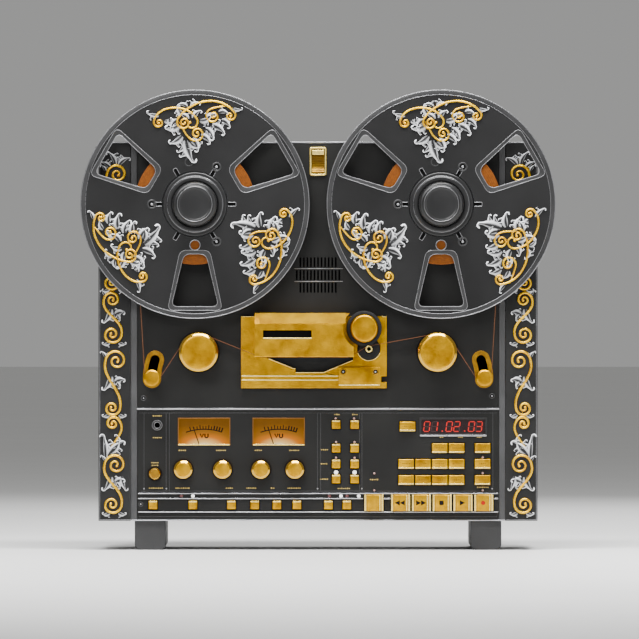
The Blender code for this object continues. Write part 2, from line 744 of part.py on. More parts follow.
def make_capstan():
    rotor = [
        (0, -72.0),
        (CAPSTAN_RADIUS, -72.0),
        (CAPSTAN_RADIUS, -42.0),
        (38.0, -42.0),
        (38.0, -24.0),
        (CAPSTAN_RADIUS, -24.0),
        (CAPSTAN_RADIUS, 26.0),
        (0, 26.0),
    ]
    turned("capstan_rotor", rotor, CAPSTAN, "steel", 18)
    bearing = [(3.5, -20.0), (8.0, -20.0), (8.0, GAP), (13.0, GAP), (13.0, 7.0), (3.5, 7.0)]
    turned("capstan_bearing", bearing, CAPSTAN, "panel_black", 20)
    cup = [(3.6, -66.0), (43.0, -66.0), (43.0, -6.0), (47.0, -6.0), (47.0, -76.0), (3.6, -76.0)]
    turned("capstan_motor", cup, CAPSTAN, "steel", 24)


def make_pinch_roller():
    reach = (PINCH[0] - PINCH_PIVOT[0], PINCH[1] - PINCH_PIVOT[1])
    arm = plate("pinch_arm", [capsule((0, 0), reach, 6.0, 6)], 6.8, 9.5, "steel", *PINCH_PIVOT)
    join(arm, turned("pinch_shaft", [(0, -14), (3.1, -14), (3.1, 9), (0, 9)], PINCH_PIVOT, "steel", 16))
    join(arm, turned("pinch_post", [(0, 8), (2.6, 8), (2.6, 24.5), (0, 24.5)], PINCH, "steel", 16))
    profile = [
        (0, 25.0),
        (2.9, 25.0),
        (2.9, 10.5),
        (PINCH_RADIUS, 10.5),
        (PINCH_RADIUS, 25.0),
        (15.7, 25.4),
        (15.7, 30.0),
        (14.2, 31.5),
        (0, 31.5),
    ]
    turned("pinch_roller", profile, PINCH, "rubber", 28)


# ---- Tape ----


def on_wheel(wheel, heading):
    """Where a band that runs in this direction touches the wheel."""
    x, z, radius, turn = wheel
    return (x + turn * radius * math.sin(heading), z - turn * radius * math.cos(heading))


def heading_between(leaving, reaching):
    """The direction of the straight run from one wheel to the next."""
    (x0, z0, r0, turn0), (x1, z1, r1, turn1) = leaving, reaching
    lean = math.asin((turn0 * r0 - turn1 * r1) / math.hypot(x1 - x0, z1 - z0))
    return math.atan2(z1 - z0, x1 - x0) + lean


def belt_route(wheels):
    """Points of a band round wheels, each (x, z, radius, turn), where a turn of 1 is counterclockwise."""
    headings = [heading_between(*pair) for pair in zip(wheels, wheels[1:])]
    points = [on_wheel(wheels[0], headings[0])]
    for wheel, reaching, leaving in zip(wheels[1:], headings, headings[1:]):
        radius, turn = wheel[2:]
        swing = (leaving - reaching) * turn % (2 * math.pi)
        steps = max(1, round(math.degrees(swing) * math.sqrt(radius) / 50))
        points += [on_wheel(wheel, reaching + turn * swing * k / steps) for k in range(steps + 1)]
    return points + [on_wheel(wheels[-1], headings[-1])]


def ribbon(name, points, back, front, thickness, colour):
    """A flat band on edge along points."""
    bm = bmesh.new()
    sections = []
    for i, point in enumerate(points):
        along = Vector(points[min(i + 1, len(points) - 1)]) - Vector(points[max(i - 1, 0)])
        aside = Vector((-along.y, along.x)).normalized() * thickness / 2
        section = []
        for side, depth in ((1, back), (1, front), (-1, front), (-1, back)):
            x, z = (Vector(point) + aside * side) * MM
            section.append(bm.verts.new((x, -depth * MM, z)))
        sections.append(section)
    bm.faces.new(sections[0])
    bm.faces.new(sections[-1])
    for near, far in zip(sections, sections[1:]):
        for i in range(4):
            j = (i + 1) % 4
            bm.faces.new((near[i], near[j], far[j], far[i]))
    return add_object(name, finished_mesh(name, bm), colour)


def make_tape():
    def wheel(x, z, radius, turn):
        return (x, z, radius + TAPE_CLEARANCE, turn)

    wheels = [
        wheel(-REEL_X, REEL_Z, PACK_RADIUS, 1),
        wheel(-ARM_ROLLER[0], ARM_ROLLER[1], ARM_GROOVE, 1),
        wheel(-GUIDE[0], GUIDE[1], GUIDE_GROOVE, -1),
        wheel(*HEAD_POSTS[0], HEAD_POST_RADIUS, 1),
        wheel(*HEAD_POSTS[1], HEAD_POST_RADIUS, 1),
        wheel(*CAPSTAN, CAPSTAN_RADIUS, -1),
        wheel(*GUIDE, GUIDE_GROOVE, -1),
        wheel(*ARM_ROLLER, ARM_GROOVE, 1),
        wheel(REEL_X, REEL_Z, PACK_RADIUS, 1),
    ]
    ribbon("tape", belt_route(wheels), TAPE_BACK, TAPE_FRONT, TAPE_THICKNESS, "tape_brown")


# ---- Electronics inside ----


def make_power_supply():
    board = blocks("power_supply", [(-195.0, 40.0, -145.0, -60.0, 42.0, 44.0)], "board_green")
    parts = [
        (-185.0, -115.0, -140.0, -80.0, 43.0, 104.0),
        (-100.0, -90.0, -140.0, -70.0, 43.0, 84.0),
        (-20.0, 20.0, -110.0, -75.0, 43.0, 62.0),
    ]
    join(board, blocks("supply_parts", parts, "steel"))


def main():
    clear_scene()
    make_case()
    make_deck_plate()
    make_control_panel()
    for side, x in zip(("left", "right"), METERS_X):
        make_meter(side, x)
    make_display()
    make_jack()
    make_knobs()
    make_rocker()
    make_transport_keys()
    make_keypads()
    for side, sign in (("left", -1), ("right", 1)):
        make_reel(side, sign)
        make_drive(side, sign)
        make_tension_arm(side, sign)
        make_guide_roller(side, sign)
    make_head_plate()
    make_head_stack()
    make_head_cover()
    make_capstan()
    make_pinch_roller()
    make_tape()
    make_power_supply()


main()
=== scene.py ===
import json
import math

import bmesh
import bpy
from mathutils import Matrix, Vector
from mathutils.geometry import delaunay_2d_cdt


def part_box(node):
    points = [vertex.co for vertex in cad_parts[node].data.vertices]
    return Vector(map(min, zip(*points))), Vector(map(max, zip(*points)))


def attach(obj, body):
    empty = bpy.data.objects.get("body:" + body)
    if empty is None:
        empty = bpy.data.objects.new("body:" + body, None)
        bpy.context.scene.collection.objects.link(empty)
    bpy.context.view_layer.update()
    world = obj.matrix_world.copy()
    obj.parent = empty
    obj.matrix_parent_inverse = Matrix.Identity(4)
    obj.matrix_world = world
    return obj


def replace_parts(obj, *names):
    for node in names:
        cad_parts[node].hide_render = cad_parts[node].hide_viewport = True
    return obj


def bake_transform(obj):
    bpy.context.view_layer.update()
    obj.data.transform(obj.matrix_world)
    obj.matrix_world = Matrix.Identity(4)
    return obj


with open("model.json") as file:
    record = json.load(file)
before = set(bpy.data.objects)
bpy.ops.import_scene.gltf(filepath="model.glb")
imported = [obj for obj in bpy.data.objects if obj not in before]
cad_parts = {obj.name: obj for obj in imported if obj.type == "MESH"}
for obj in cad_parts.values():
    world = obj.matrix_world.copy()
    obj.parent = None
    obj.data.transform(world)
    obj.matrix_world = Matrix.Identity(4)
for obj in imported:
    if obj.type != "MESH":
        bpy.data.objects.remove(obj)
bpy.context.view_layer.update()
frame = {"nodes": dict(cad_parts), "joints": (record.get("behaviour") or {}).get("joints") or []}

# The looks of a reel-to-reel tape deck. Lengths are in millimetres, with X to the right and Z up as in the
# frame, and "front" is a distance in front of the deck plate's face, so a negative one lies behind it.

MM = 0.001
PANEL_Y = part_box("deck_plate")[0][1]
SIDES = (("left", -1), ("right", 1))
REEL_BODY = {"left": "supply_reel", "right": "take_up_reel"}

# Radii that the rollers, the capstan and the tape's path share.
GUIDE_RADIUS = 22.7
GUIDE_GROOVE = 21.0
TENSION_RADIUS = 9.8
TENSION_GROOVE = 7.7
CAPSTAN_RADIUS = 3.2

# Each flange's centre hole, the place of its threading hole, and the middles of its windows in degrees.
BORE_RADIUS = 38.1
THREADING_Z = -47.5
WINDOW_DIRECTIONS = (30, 150, 270)

# How far in front the dials' marks lie, and the radius of their scale.
DIAL_MARKS = -9.9
SCALE_RADIUS = 65.0


def span(node):
    """A node's edges in millimetres: x0, x1, z0, z1, and its back and front."""
    low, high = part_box(node)
    back, front = (PANEL_Y - high[1]) / MM, (PANEL_Y - low[1]) / MM
    return low[0] / MM, high[0] / MM, low[2] / MM, high[2] / MM, back, front


def middle(node):
    x0, x1, z0, z1, _, _ = span(node)
    return (x0 + x1) / 2, (z0 + z1) / 2


def axis_of(joint):
    """Where a hinge's axis crosses the front view."""
    found = next(j for j in frame["joints"] if j["name"] == joint)
    return found["pos_m"][0] / MM, found["pos_m"][2] / MM


# ---- Materials ----

MATERIALS = {}
BUMP_DEPTH = 0.0003


def add_noise(nodes, links, vector, scale, detail):
    texture = nodes.new("ShaderNodeTexNoise")
    texture.inputs["Scale"].default_value = scale
    texture.inputs["Detail"].default_value = detail
    links.new(vector, texture.inputs["Vector"])
    return texture.outputs["Fac"]


def add_ramp(nodes, links, factor, socket, stops):
    """Feeds a socket with colours picked along a factor. Each stop is (position, colour)."""
    ramp = nodes.new("ShaderNodeValToRGB")
    elements = ramp.color_ramp.elements
    for element, (position, colour) in zip(elements, (stops[0], stops[-1])):
        element.position = position
        element.color = (*colour, 1)
    for position, colour in stops[1:-1]:
        elements.new(position).color = (*colour, 1)
    links.new(factor, ramp.inputs["Fac"])
    links.new(ramp.outputs["Color"], socket)


def surface(
    name, colour, roughness, metallic=0.0, mottle=0.2, mottle_scale=25.0, dark=None, grain=900.0, stretch=(
        1, 1, 1
    ),
    bump=0.15, coat=0.0, emission=None, emission_strength=0.0, specular=0.5,
):
    """A finish with soft blotches in its colour, uneven roughness and a fine grain in its bump."""
    made = bpy.data.materials.new(name)
    made.use_nodes = True
    nodes, links = made.node_tree.nodes, made.node_tree.links
    shader = nodes["Principled BSDF"]
    coords = nodes.new("ShaderNodeTexCoord").outputs["Object"]
    mapping = nodes.new("ShaderNodeMapping")
    mapping.inputs["Scale"].default_value = stretch
    links.new(coords, mapping.inputs["Vector"])
    low = dark or [c * (1 - mottle) for c in colour]
    high = [min(1.0, c * (1 + mottle / 2)) for c in colour]
    blotches = add_noise(nodes, links, coords, mottle_scale, 5.0)
    add_ramp(nodes, links, blotches, shader.inputs["Base Color"], ((0.3, low), (0.68, high)))

    grains = add_noise(nodes, links, mapping.outputs["Vector"], grain, 3.0)
    spread = nodes.new("ShaderNodeMapRange")
    spread.inputs["To Min"].default_value = max(0.02, roughness - 0.1)
    spread.inputs["To Max"].default_value = min(1.0, roughness + 0.1)
    links.new(grains, spread.inputs["Value"])
    links.new(spread.outputs["Result"], shader.inputs["Roughness"])
    relief = nodes.new("ShaderNodeBump")
    relief.inputs["Strength"].default_value = bump
    relief.inputs["Distance"].default_value = BUMP_DEPTH
    links.new(grains, relief.inputs["Height"])
    links.new(relief.outputs["Normal"], shader.inputs["Normal"])

    settings = {
        "Metallic": metallic, "Specular IOR Level": specular, "Coat Weight": coat, "Coat Roughness": 0.12
    }
    if emission:
        settings.update({"Emission Color": (*emission, 1), "Emission Strength": emission_strength})
    for socket, value in settings.items():
        shader.inputs[socket].default_value = value
    MATERIALS[name] = made
    return made


def glowing_dial():
    """Amber card lit by a lamp below the middle of its lower edge."""
    made = surface(
        "dial_card", (0.05, 0.018, 0.001), 0.5, specular=0.1, mottle=0.3, mottle_scale=120.0, bump=0.1
    )
    nodes, links = made.node_tree.nodes, made.node_tree.links
    shader = nodes["Principled BSDF"]
    from_lamp = nodes.new("ShaderNodeMapping")
    from_lamp.inputs["Scale"].default_value = (1.0, 0.0, 1.15)
    from_lamp.inputs["Location"].default_value = (-0.5, 0.0, 0.04)
    links.new(nodes.new("ShaderNodeTexCoord").outputs["Generated"], from_lamp.inputs["Vector"])
    away = nodes.new("ShaderNodeVectorMath")
    away.operation = "DISTANCE"
    away.inputs[1].default_value = (0, 0, 0)
    links.new(from_lamp.outputs["Vector"], away.inputs[0])
    stops = (
        (
            0.0, (1.0, 0.93, 0.75)), (0.17, (1.0, 0.62, 0.2)), (0.4, (0.62, 0.17, 0.004)), (0.6,
            (0.26, 0.1, 0.005),
        ),
        (0.95, (0.13, 0.052, 0.003)),
    )
    add_ramp(nodes, links, away.outputs["Value"], shader.inputs["Emission Color"], stops)
    shader.inputs["Emission Strength"].default_value = 1.25


def silver_leaf():
    """Chased silver with painted light: a vertex attribute holds the painted highlight or shade at each
    place.
    """
    made = surface("silver_leaf", (0.5, 0.5, 0.52), 0.5, specular=0.3, bump=0.1)
    nodes, links = made.node_tree.nodes, made.node_tree.links
    shade = nodes.new("ShaderNodeAttribute")
    shade.attribute_name = "shade"
    stops = ((0.08, (0.003, 0.003, 0.0035)), (0.85, (0.93, 0.94, 0.97)))
    add_ramp(nodes, links, shade.outputs["Fac"], nodes["Principled BSDF"].inputs["Base Color"], stops)


def make_materials():
    surface(
        "panel", (0.008, 0.008, 0.0075), 0.5, specular=0.2, mottle=0.5, mottle_scale=14.0, grain=1300.0,
        bump=0.25,
    )
    surface("frame", (0.06, 0.06, 0.062), 0.42, metallic=0.5, mottle=0.25, grain=1400.0, bump=0.2)
    surface("lacquer", (0.01, 0.01, 0.01), 0.3, mottle=0.3, coat=0.3, grain=500.0, bump=0.08)
    surface("cheek_face", (0.009, 0.009, 0.009), 0.45, specular=0.25, mottle=0.4, grain=900.0, bump=0.15)
    surface(
        "flange", (0.008, 0.008, 0.0083), 0.45, specular=0.22, mottle=0.6, mottle_scale=9.0, grain=1500.0,
        bump=0.2,
    )
    surface("hub_black", (0.008, 0.008, 0.0085), 0.33, metallic=0.1, mottle=0.3, grain=1200.0, bump=0.1)
    # Pale metal for trim strips, and for strips and beads along edges that are painted highlights.
    surface("silver_trim_and_highlight", (0.46, 0.46, 0.48), 0.3, metallic=0.9, mottle=0.08, grain=200.0, bump=0.02)
    surface(
        "window_grey", (0.024, 0.024, 0.025), 0.4, metallic=0.3, mottle=0.4, mottle_scale=30.0, grain=1300.0,
        bump=0.15,
    )
    # Grey metal for rings along rims and chamfers: painted highlight lines.
    surface(
        "painted_highlight_metal", (0.24, 0.24, 0.25), 0.3, metallic=0.9, mottle=0.12, mottle_scale=12.0, grain=200.0,
        bump=0.02,
    )
    # Grey metal for beads along window and jack edges: painted highlight lines.
    surface(
        "edge_painted_highlight", (0.26, 0.26, 0.27), 0.3, metallic=0.6, mottle=0.15, mottle_scale=12.0, grain=200.0,
        bump=0.02,
    )
    surface("edge_grey", (0.2, 0.2, 0.21), 0.35, metallic=0.7, mottle=0.3, bump=0.1)
    surface("seam_grey", (0.05, 0.05, 0.052), 0.4, metallic=0.5, mottle=0.2, grain=200.0, bump=0.02)
    surface("steel", (0.5, 0.5, 0.52), 0.3, metallic=1.0, mottle=0.12, stretch=(1, 0.05, 1), bump=0.08)
    surface(
        "gold", (0.66, 0.355, 0.0002), 0.34, metallic=0.98, dark=(0.36, 0.16, 0.0002), mottle_scale=55.0,
        grain=380.0, bump=0.8,
    )
    # A paler copy of the gold for lips, ribs, ridges and edges: painted highlights.
    surface(
        "gold_painted_highlight", (0.95, 0.72, 0.2), 0.28, metallic=0.75, mottle=0.1, mottle_scale=60.0, grain=1100.0,
        bump=0.25,
    )
    # A darker copy of the gold for the head cover's top slope: painted shade.
    surface(
        "gold_band_painted_shade", (0.5, 0.29, 0.001), 0.36, metallic=0.9, dark=(0.3, 0.15, 0.0005), mottle_scale=40.0,
        bump=0.4,
    )
    # A darker copy of the gold for the rocker's hollow: painted shade.
    surface(
        "gold_painted_shade", (0.16, 0.085, 0.0005), 0.4, metallic=0.8, dark=(0.08, 0.035, 0.0005), mottle_scale=90.0,
        bump=0.3,
    )
    surface(
        "gold_gleam", (0.62, 0.35, 0.004), 0.15, metallic=1.0, mottle=0.05, mottle_scale=60.0, grain=500.0,
        coat=1.0, bump=0.03,
    )
    surface(
        "gold_aged", (0.34, 0.175, 0.001), 0.4, metallic=0.75, dark=(0.22, 0.1, 0.004), mottle_scale=160.0,
        bump=0.3,
    )
    surface(
        "scroll_gold", (0.86, 0.52, 0.002), 0.28, metallic=0.8, dark=(0.66, 0.33, 0.001), mottle_scale=70.0,
        bump=0.15,
    )
    surface("tape", (0.12, 0.04, 0.012), 0.4, specular=0.3, mottle=0.2, bump=0.05)
    surface(
        "tape_pack", (0.125, 0.033, 0.0004), 0.6, specular=0.15, mottle=0.25, mottle_scale=300.0,
        grain=2500.0, bump=0.2,
    )
    surface("rubber", (0.005, 0.005, 0.005), 0.6, specular=0.2, mottle=0.3, bump=0.3)
    surface("foot", (0.022, 0.022, 0.023), 0.5, mottle=0.35, mottle_scale=20.0, bump=0.25)
    surface("ink", (0.006, 0.004, 0.003), 0.6, specular=0.1, mottle=0.2, bump=0.05)
    surface("ink_gold", (0.42, 0.3, 0.07), 0.5, metallic=0.2, mottle=0.3, mottle_scale=500.0, bump=0.1)
    surface("ink_red", (0.3, 0.006, 0.002), 0.5, specular=0.1, mottle=0.2, bump=0.05)
    surface("smoked_glass", (0.012, 0.004, 0.005), 0.12, mottle=0.2, coat=0.6, bump=0.02)
    surface(
        "digit_lit", (0.3, 0.012, 0.008), 0.4, specular=0.1, emission=(0.9, 0.04, 0.03),
        emission_strength=0.5, bump=0.05,
    )
    surface("digit_dark", (0.02, 0.003, 0.003), 0.4, bump=0.05)
    surface("lamp_white", (0.9, 0.9, 0.9), 0.3, emission=(1, 1, 1), emission_strength=1.2, bump=0.02)
    surface(
        "lamp_rose", (0.35, 0.22, 0.2), 0.3, mottle=0.1, emission=(0.5, 0.3, 0.26), emission_strength=0.2,
        bump=0.02,
    )
    surface("lamp_off", (0.1, 0.02, 0.02), 0.3, mottle=0.1, coat=0.4, bump=0.02)
    surface("copper_board", (0.03, 0.14, 0.06), 0.5, mottle=0.3, bump=0.2)
    surface("black_plastic", (0.018, 0.018, 0.018), 0.5, mottle=0.25, bump=0.3)
    # Near black for the floors of cups and holes, the hub and the plates behind slots: painted shade.
    surface("cavity_painted_shade", (0.002, 0.002, 0.002), 0.9, specular=0.1, mottle=0.2, bump=0.05)
    surface("dial_frame", (0.2, 0.08, 0.008), 0.4, metallic=0.5, mottle=0.2, bump=0.1)
    glowing_dial()
    silver_leaf()


# ---- Outlines in the front view ----


def rectangle(x0, x1, z0, z1):
    return [(x0, z0), (x1, z0), (x1, z1), (x0, z1)]


def centred(width, height, x=0.0, z=0.0):
    return rectangle(x - width / 2, x + width / 2, z - height / 2, z + height / 2)


def arc(x, z, radius, start, end, steps):
    angles = [math.radians(start + (end - start) * i / steps) for i in range(steps + 1)]
    return [(x + radius * math.cos(a), z + radius * math.sin(a)) for a in angles]


def circle(x, z, radius, steps=48):
    return arc(x, z, radius, 0, 360, steps)[:-1]


def softened(points, radius, steps=4, closed=True):
    """Points with each corner rounded off over about this radius."""
    made = []
    for i, point in enumerate(points):
        if not closed and i in (0, len(points) - 1):
            made.append(tuple(point))
            continue
        here = Vector(point)
        before, after = Vector(points[i - 1]) - here, Vector(points[(i + 1) % len(points)]) - here
        start = here + before.normalized() * min(radius, before.length * 0.45)
        end = here + after.normalized() * min(radius, after.length * 0.45)
        for k in range(steps + 1):
            t = k / steps
            made.append(tuple(start * (1 - t) ** 2 + here * 2 * t * (1 - t) + end * t * t))
    return made


def turned_outline(points, degrees):
    turn = Matrix.Rotation(math.radians(degrees), 2)
    return [tuple(turn @ Vector(p)) for p in points]


# ---- Meshes ----


def inside(outline, x, z):
    crossings = 0
    for (x0, z0), (x1, z1) in zip(outline, outline[1:] + outline[:1]):
        if (z0 > z) != (z1 > z) and x < x0 + (z - z0) * (x1 - x0) / (z1 - z0):
            crossings += 1
    return crossings % 2 == 1


def spot(x, z, front=0.0):
    return x * MM, -front * MM, z * MM


def bridge(bm, rings, closed=False):
    """Faces from each ring of verts to the next, and from the last back to the first when closed."""
    made = []
    for near, far in zip(rings, rings[1:] + rings[:1] if closed else rings[1:]):
        for i in range(len(near)):
            j = (i + 1) % len(near)
            corners = list(dict.fromkeys((near[i], near[j], far[j], far[i])))
            if len(corners) > 2:
                made.append(bm.faces.new(corners))
    return made


def moved_verts(geometry):
    return [item for item in geometry["geom"] if isinstance(item, bmesh.types.BMVert)]


def add_plate(bm, outlines, back, front):
    """A plate in bm. The first outline is its edge, and the others are holes."""
    corners, edges = [], []
    for outline in outlines:
        first = len(corners)
        edges += [(first + i, first + (i + 1) % len(outline)) for i in range(len(outline))]
        corners += [Vector(point) for point in outline]
    points, _, faces, *_ = delaunay_2d_cdt(corners, edges, [], 0, 1e-4)
    verts = [bm.verts.new(spot(p.x, p.y, back)) for p in points]
    made = []
    for face in faces:
        centre = sum((points[i] for i in face), Vector((0, 0))) / 3
        if sum(inside(outline, *centre) for outline in outlines) == 1:
            made.append(bm.faces.new([verts[i] for i in face]))
    drawn = moved_verts(bmesh.ops.extrude_face_region(bm, geom=made))
    bmesh.ops.translate(bm, verts=drawn, vec=(0, (back - front) * MM, 0))
    bmesh.ops.delete(bm, geom=[v for v in verts if v.is_valid and not v.link_faces], context="VERTS")
    bmesh.ops.recalc_face_normals(bm, faces=bm.faces)


def add_loft(bm, rings):
    """A solid in bm through rings of (points, front), all with the same number of points."""
    loops = [[bm.verts.new(spot(x, z, front)) for x, z in points] for points, front in rings]
    caps = [bm.faces.new(loops[0]), bm.faces.new(loops[-1])]
    bmesh.ops.recalc_face_normals(bm, faces=caps + bridge(bm, loops))


def add_drawn(bm, outline, x0, x1):
    """A solid in bm whose side view is an outline of (front, z) points, drawn from x0 to x1."""
    ends = [[bm.verts.new(spot(x, z, front)) for front, z in outline] for x in (x0, x1)]
    for end in ends:
        bm.faces.new(end)
    bridge(bm, ends)
    bmesh.ops.recalc_face_normals(bm, faces=bm.faces)


def add_key(bm, x, z, width, height, back, front, edge=0.6, corner=0.8):
    """A block with rounded corners whose front edges are rounded too."""
    rings = []
    steps = ((0, back), (0, front - edge), (0.12, front - edge * 0.4), (0.45, front - edge * 0.1), (1, front))
    for share, depth in steps:
        inset = edge * share
        outline = centred(width - 2 * inset, height - 2 * inset, x, z)
        rings.append((softened(outline, max(0.1, corner - inset * 0.5), 3), depth))
    add_loft(bm, rings)


def add_turned(bm, profile, x=0.0, z=0.0, steps=64):
    """A solid in bm turned about Y from (radius, front) points, with a bore when no point is on the axis."""
    rings = []
    for radius, front in profile:
        around = circle(x, z, radius, steps) if radius else [(x, z)]
        ring = [bm.verts.new(spot(px, pz, front)) for px, pz in around]
        rings.append(ring if radius else ring * steps)
    bmesh.ops.recalc_face_normals(bm, faces=bridge(bm, rings, closed=profile[0][0] != 0))


def put(name, data, x=0.0, z=0.0):
    obj = bpy.data.objects.new(name, data)
    obj.location = (x * MM, PANEL_Y, z * MM)
    bpy.context.scene.collection.objects.link(obj)
    return obj


def round_edges(obj, width, degrees=40, clamp=False):
    rounding = obj.modifiers.new("Edges", "BEVEL")
    rounding.width = width * MM
    rounding.segments = 2
    rounding.limit_method = "ANGLE"
    rounding.angle_limit = math.radians(degrees)
    rounding.use_clamp_overlap = clamp
    rounding.harden_normals = True


def attached(obj, body, replaces=None):
    """Tells the frame which body obj rides on and what it stands for."""
    if body:
        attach(obj, body)
    if replaces:
        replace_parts(obj, replaces)
    return obj


def piece(name, bm, look, body="root", x=0.0, z=0.0, bevel=0.0, replaces=None, slot=None, smooth=35):
    """Finishes bm, drawn about (x, front 0, z), as one piece that rides on a body."""
    mesh = bpy.data.meshes.new(name)
    bm.to_mesh(mesh)
    bm.free()
    mesh.materials.append(MATERIALS[look])
    obj = put(name, mesh, x, z)
    mesh.shade_smooth()
    mesh.set_sharp_from_angle(angle=math.radians(smooth))
    if bevel:
        round_edges(obj, bevel)
    return attached(obj, body, replaces)


def turned(name, profile, look, body="root", x=0.0, z=0.0, soft=0.4, steps=96, **more):
    bm = bmesh.new()
    closed = profile[0][0] != 0
    add_turned(bm, softened(profile, soft, 3, closed=closed), steps=steps)
    return piece(name, bm, look, body, x, z, **more)


def plate(name, outlines, back, front, look, body="root", x=0.0, z=0.0, **more):
    bm = bmesh.new()
    add_plate(bm, outlines, back, front)
    return piece(name, bm, look, body, x, z, **more)


def wires(name, paths, look, body="root", x=0.0, z=0.0):
    """Round wires, each a list of (x, z, front, radius), as one curve object."""
    curve = bpy.data.curves.new(name, "CURVE")
    curve.dimensions = "3D"
    curve.bevel_depth = MM
    curve.bevel_resolution = 3
    curve.use_fill_caps = True
    for path, closed in paths:
        spline = curve.splines.new("POLY")
        spline.points.add(len(path) - 1)
        for point, (px, pz, front, radius) in zip(spline.points, path):
            point.co = (*spot(px, pz, front), 1)
            point.radius = radius
        spline.use_cyclic_u = closed
        spline.use_smooth = True
    curve.materials.append(MATERIALS[look])
    attached(put(name, curve, x, z), body)


def bead(outline, front, radius):
    """A closed wire along an outline, for wires()."""
    return [(x, z, front, radius) for x, z in outline], True


def strips(name, boxes, look, body="root", **more):
    """Thin bars: each (x0, x1, z0, z1, back, front)."""
    bm = bmesh.new()
    for x0, x1, z0, z1, back, front in boxes:
        edge = min(0.25, (x1 - x0) / 4, (z1 - z0) / 4, (front - back) / 2)
        add_key(bm, (x0 + x1) / 2, (z0 + z1) / 2, x1 - x0, z1 - z0, back, front, edge, edge)
    return piece(name, bm, look, body, **more)


# ---- Ornament: gold scrolls and silver leaves ----


def spiral(x, z, radius, exit_degrees, turns, sense):
    """From the eye outwards, with where it ends and the direction that it leaves in."""
    steps = int(26 * turns)
    points = []
    for k in range(steps + 1):
        t = k / steps
        angle = math.radians(exit_degrees) - sense * 2 * math.pi * turns * (1 - t)
        reach = radius * (0.16 + 0.84 * t**1.15)
        points.append(Vector((x + reach * math.cos(angle), z + reach * math.sin(angle))))
    return points, (points[-1] - points[-2]).normalized()


def scroll(first, second, pull=1.2, thickness=1.15):
    """A gold wire that unwinds from one spiral and winds into another. Either may be a plain (x, z) tip."""
    start, leaving = spiral(*first)
    if len(second) == 2:
        end, arriving = [Vector(second)], (Vector(second) - start[-1]).normalized()
    else:
        outward, heading = spiral(*second)
        end, arriving = outward[::-1], -heading
    gap = (end[0] - start[-1]).length * pull
    joining = []
    for k in range(1, 22):
        t = k / 22
        joining.append(
            start[-1] * (2 * t**3 - 3 * t**2 + 1)
            + leaving * gap * (t**3 - 2 * t**2 + t)
            + end[0] * (3 * t**2 - 2 * t**3)
            + arriving * gap * (t**3 - t**2)
        )
    points = start + joining + end
    path = []
    for k, point in enumerate(points):
        t = k / (len(points) - 1)
        swell = 0.8 + 0.35 * math.sin(math.pi * t)
        if len(second) == 2:
            swell *= min(1.0, (1 - t) * 5 + 0.15)
        path.append((point.x, point.y, 0.35 + 0.5 * swell, thickness * swell))
    return path


def eyes(paths, size=1.75):
    """The bosses at the spirals' eyes."""
    return [(path[0][0], path[0][1], size) for path in paths] + [
        (path[-1][0], path[-1][1], size) for path in paths if path[-1][3] > 0.8
    ]


# The leaf's section across: where, how high, and the painted light there, with a painted highlight along one
# side, painted shade in the middle and black at both edges.
LEAF_SECTION = (
    (
        -1.0, 0.0, 0.0), (-0.86, 0.5, 1.0), (-0.4, 0.95, 0.9), (-0.1, 0.8, 0.25), (0.35, 0.5, 0.05), (0.8,
        0.45, 0.6,
    ),
    (1.0, 0.0, 0.0),
)


def add_blade(bm, shade, start, angle, length, width, bend, base, hook=215.0):
    """One lobe of a leaf: it swells, tapers and rolls up at its tip. Returns its centre line and headings."""
    steps, rolled = 18, 0.68
    sense = math.copysign(1.0, bend)
    point, rows, spine = Vector(start), [], []
    for k in range(steps + 1):
        t = k / steps
        across = Vector((-math.sin(angle), math.cos(angle))) * sense
        body = min(1.0, t / rolled)
        half = width * max(0.17, 0.5 * math.sin(math.pi * (0.16 + 0.8 * body)) ** 0.85)
        if t > 0.88:
            half = width * 0.24
        row = [bm.verts.new((0, 0, 0)) for _ in range(len(LEAF_SECTION) + 2)]
        for vert, (reach, rise, bright) in zip(row[1:-1], LEAF_SECTION):
            place = point + across * reach * half
            vert.co = (place.x * MM, -(base + 0.25 + 1.5 * rise) * MM, place.y * MM)
            # Painted shade deepens towards the blade's base.
            vert[shade] = bright * (0.3 + 0.7 * t)
        # The sides drop to the face and keep a shade of 0: a painted dark outline.
        row[0].co = (row[1].co.x, 0.0, row[1].co.z)
        row[-1].co = (row[-2].co.x, 0.0, row[-2].co.z)
        rows.append(row)
        spine.append((point.copy(), angle))
        point = point + Vector(
            (math.cos(angle), math.sin(angle))) * length / steps * (1.0 if t < rolled else 0.66
        )
        if t < rolled:
            angle += math.radians(bend) / (steps * rolled)
        else:
            angle += sense * math.radians(hook) / (steps * (1 - rolled))
    bridge(bm, rows)
    bm.faces.new(rows[0])
    bm.faces.new(rows[-1])
    return spine


def add_leaf(bm, shade, x, z, heading, length, width, bend):
    """An acanthus leaf: a long blade with shorter ones that peel off its outer side."""
    sense = math.copysign(1.0, bend)
    spine = add_blade(bm, shade, (x, z), math.radians(heading), length, width, bend, 0.35)
    for place, share, spread in ((2, 0.5, 34), (6, 0.42, 44))[: 2 if length > 15.5 else 1]:
        start, angle = spine[place]
        outward = angle - sense * math.radians(spread)
        add_blade(
            bm, shade, start, outward, length * share, width * 0.6, -bend * 0.3 - sense * 26, 0.0, 200.0
        )


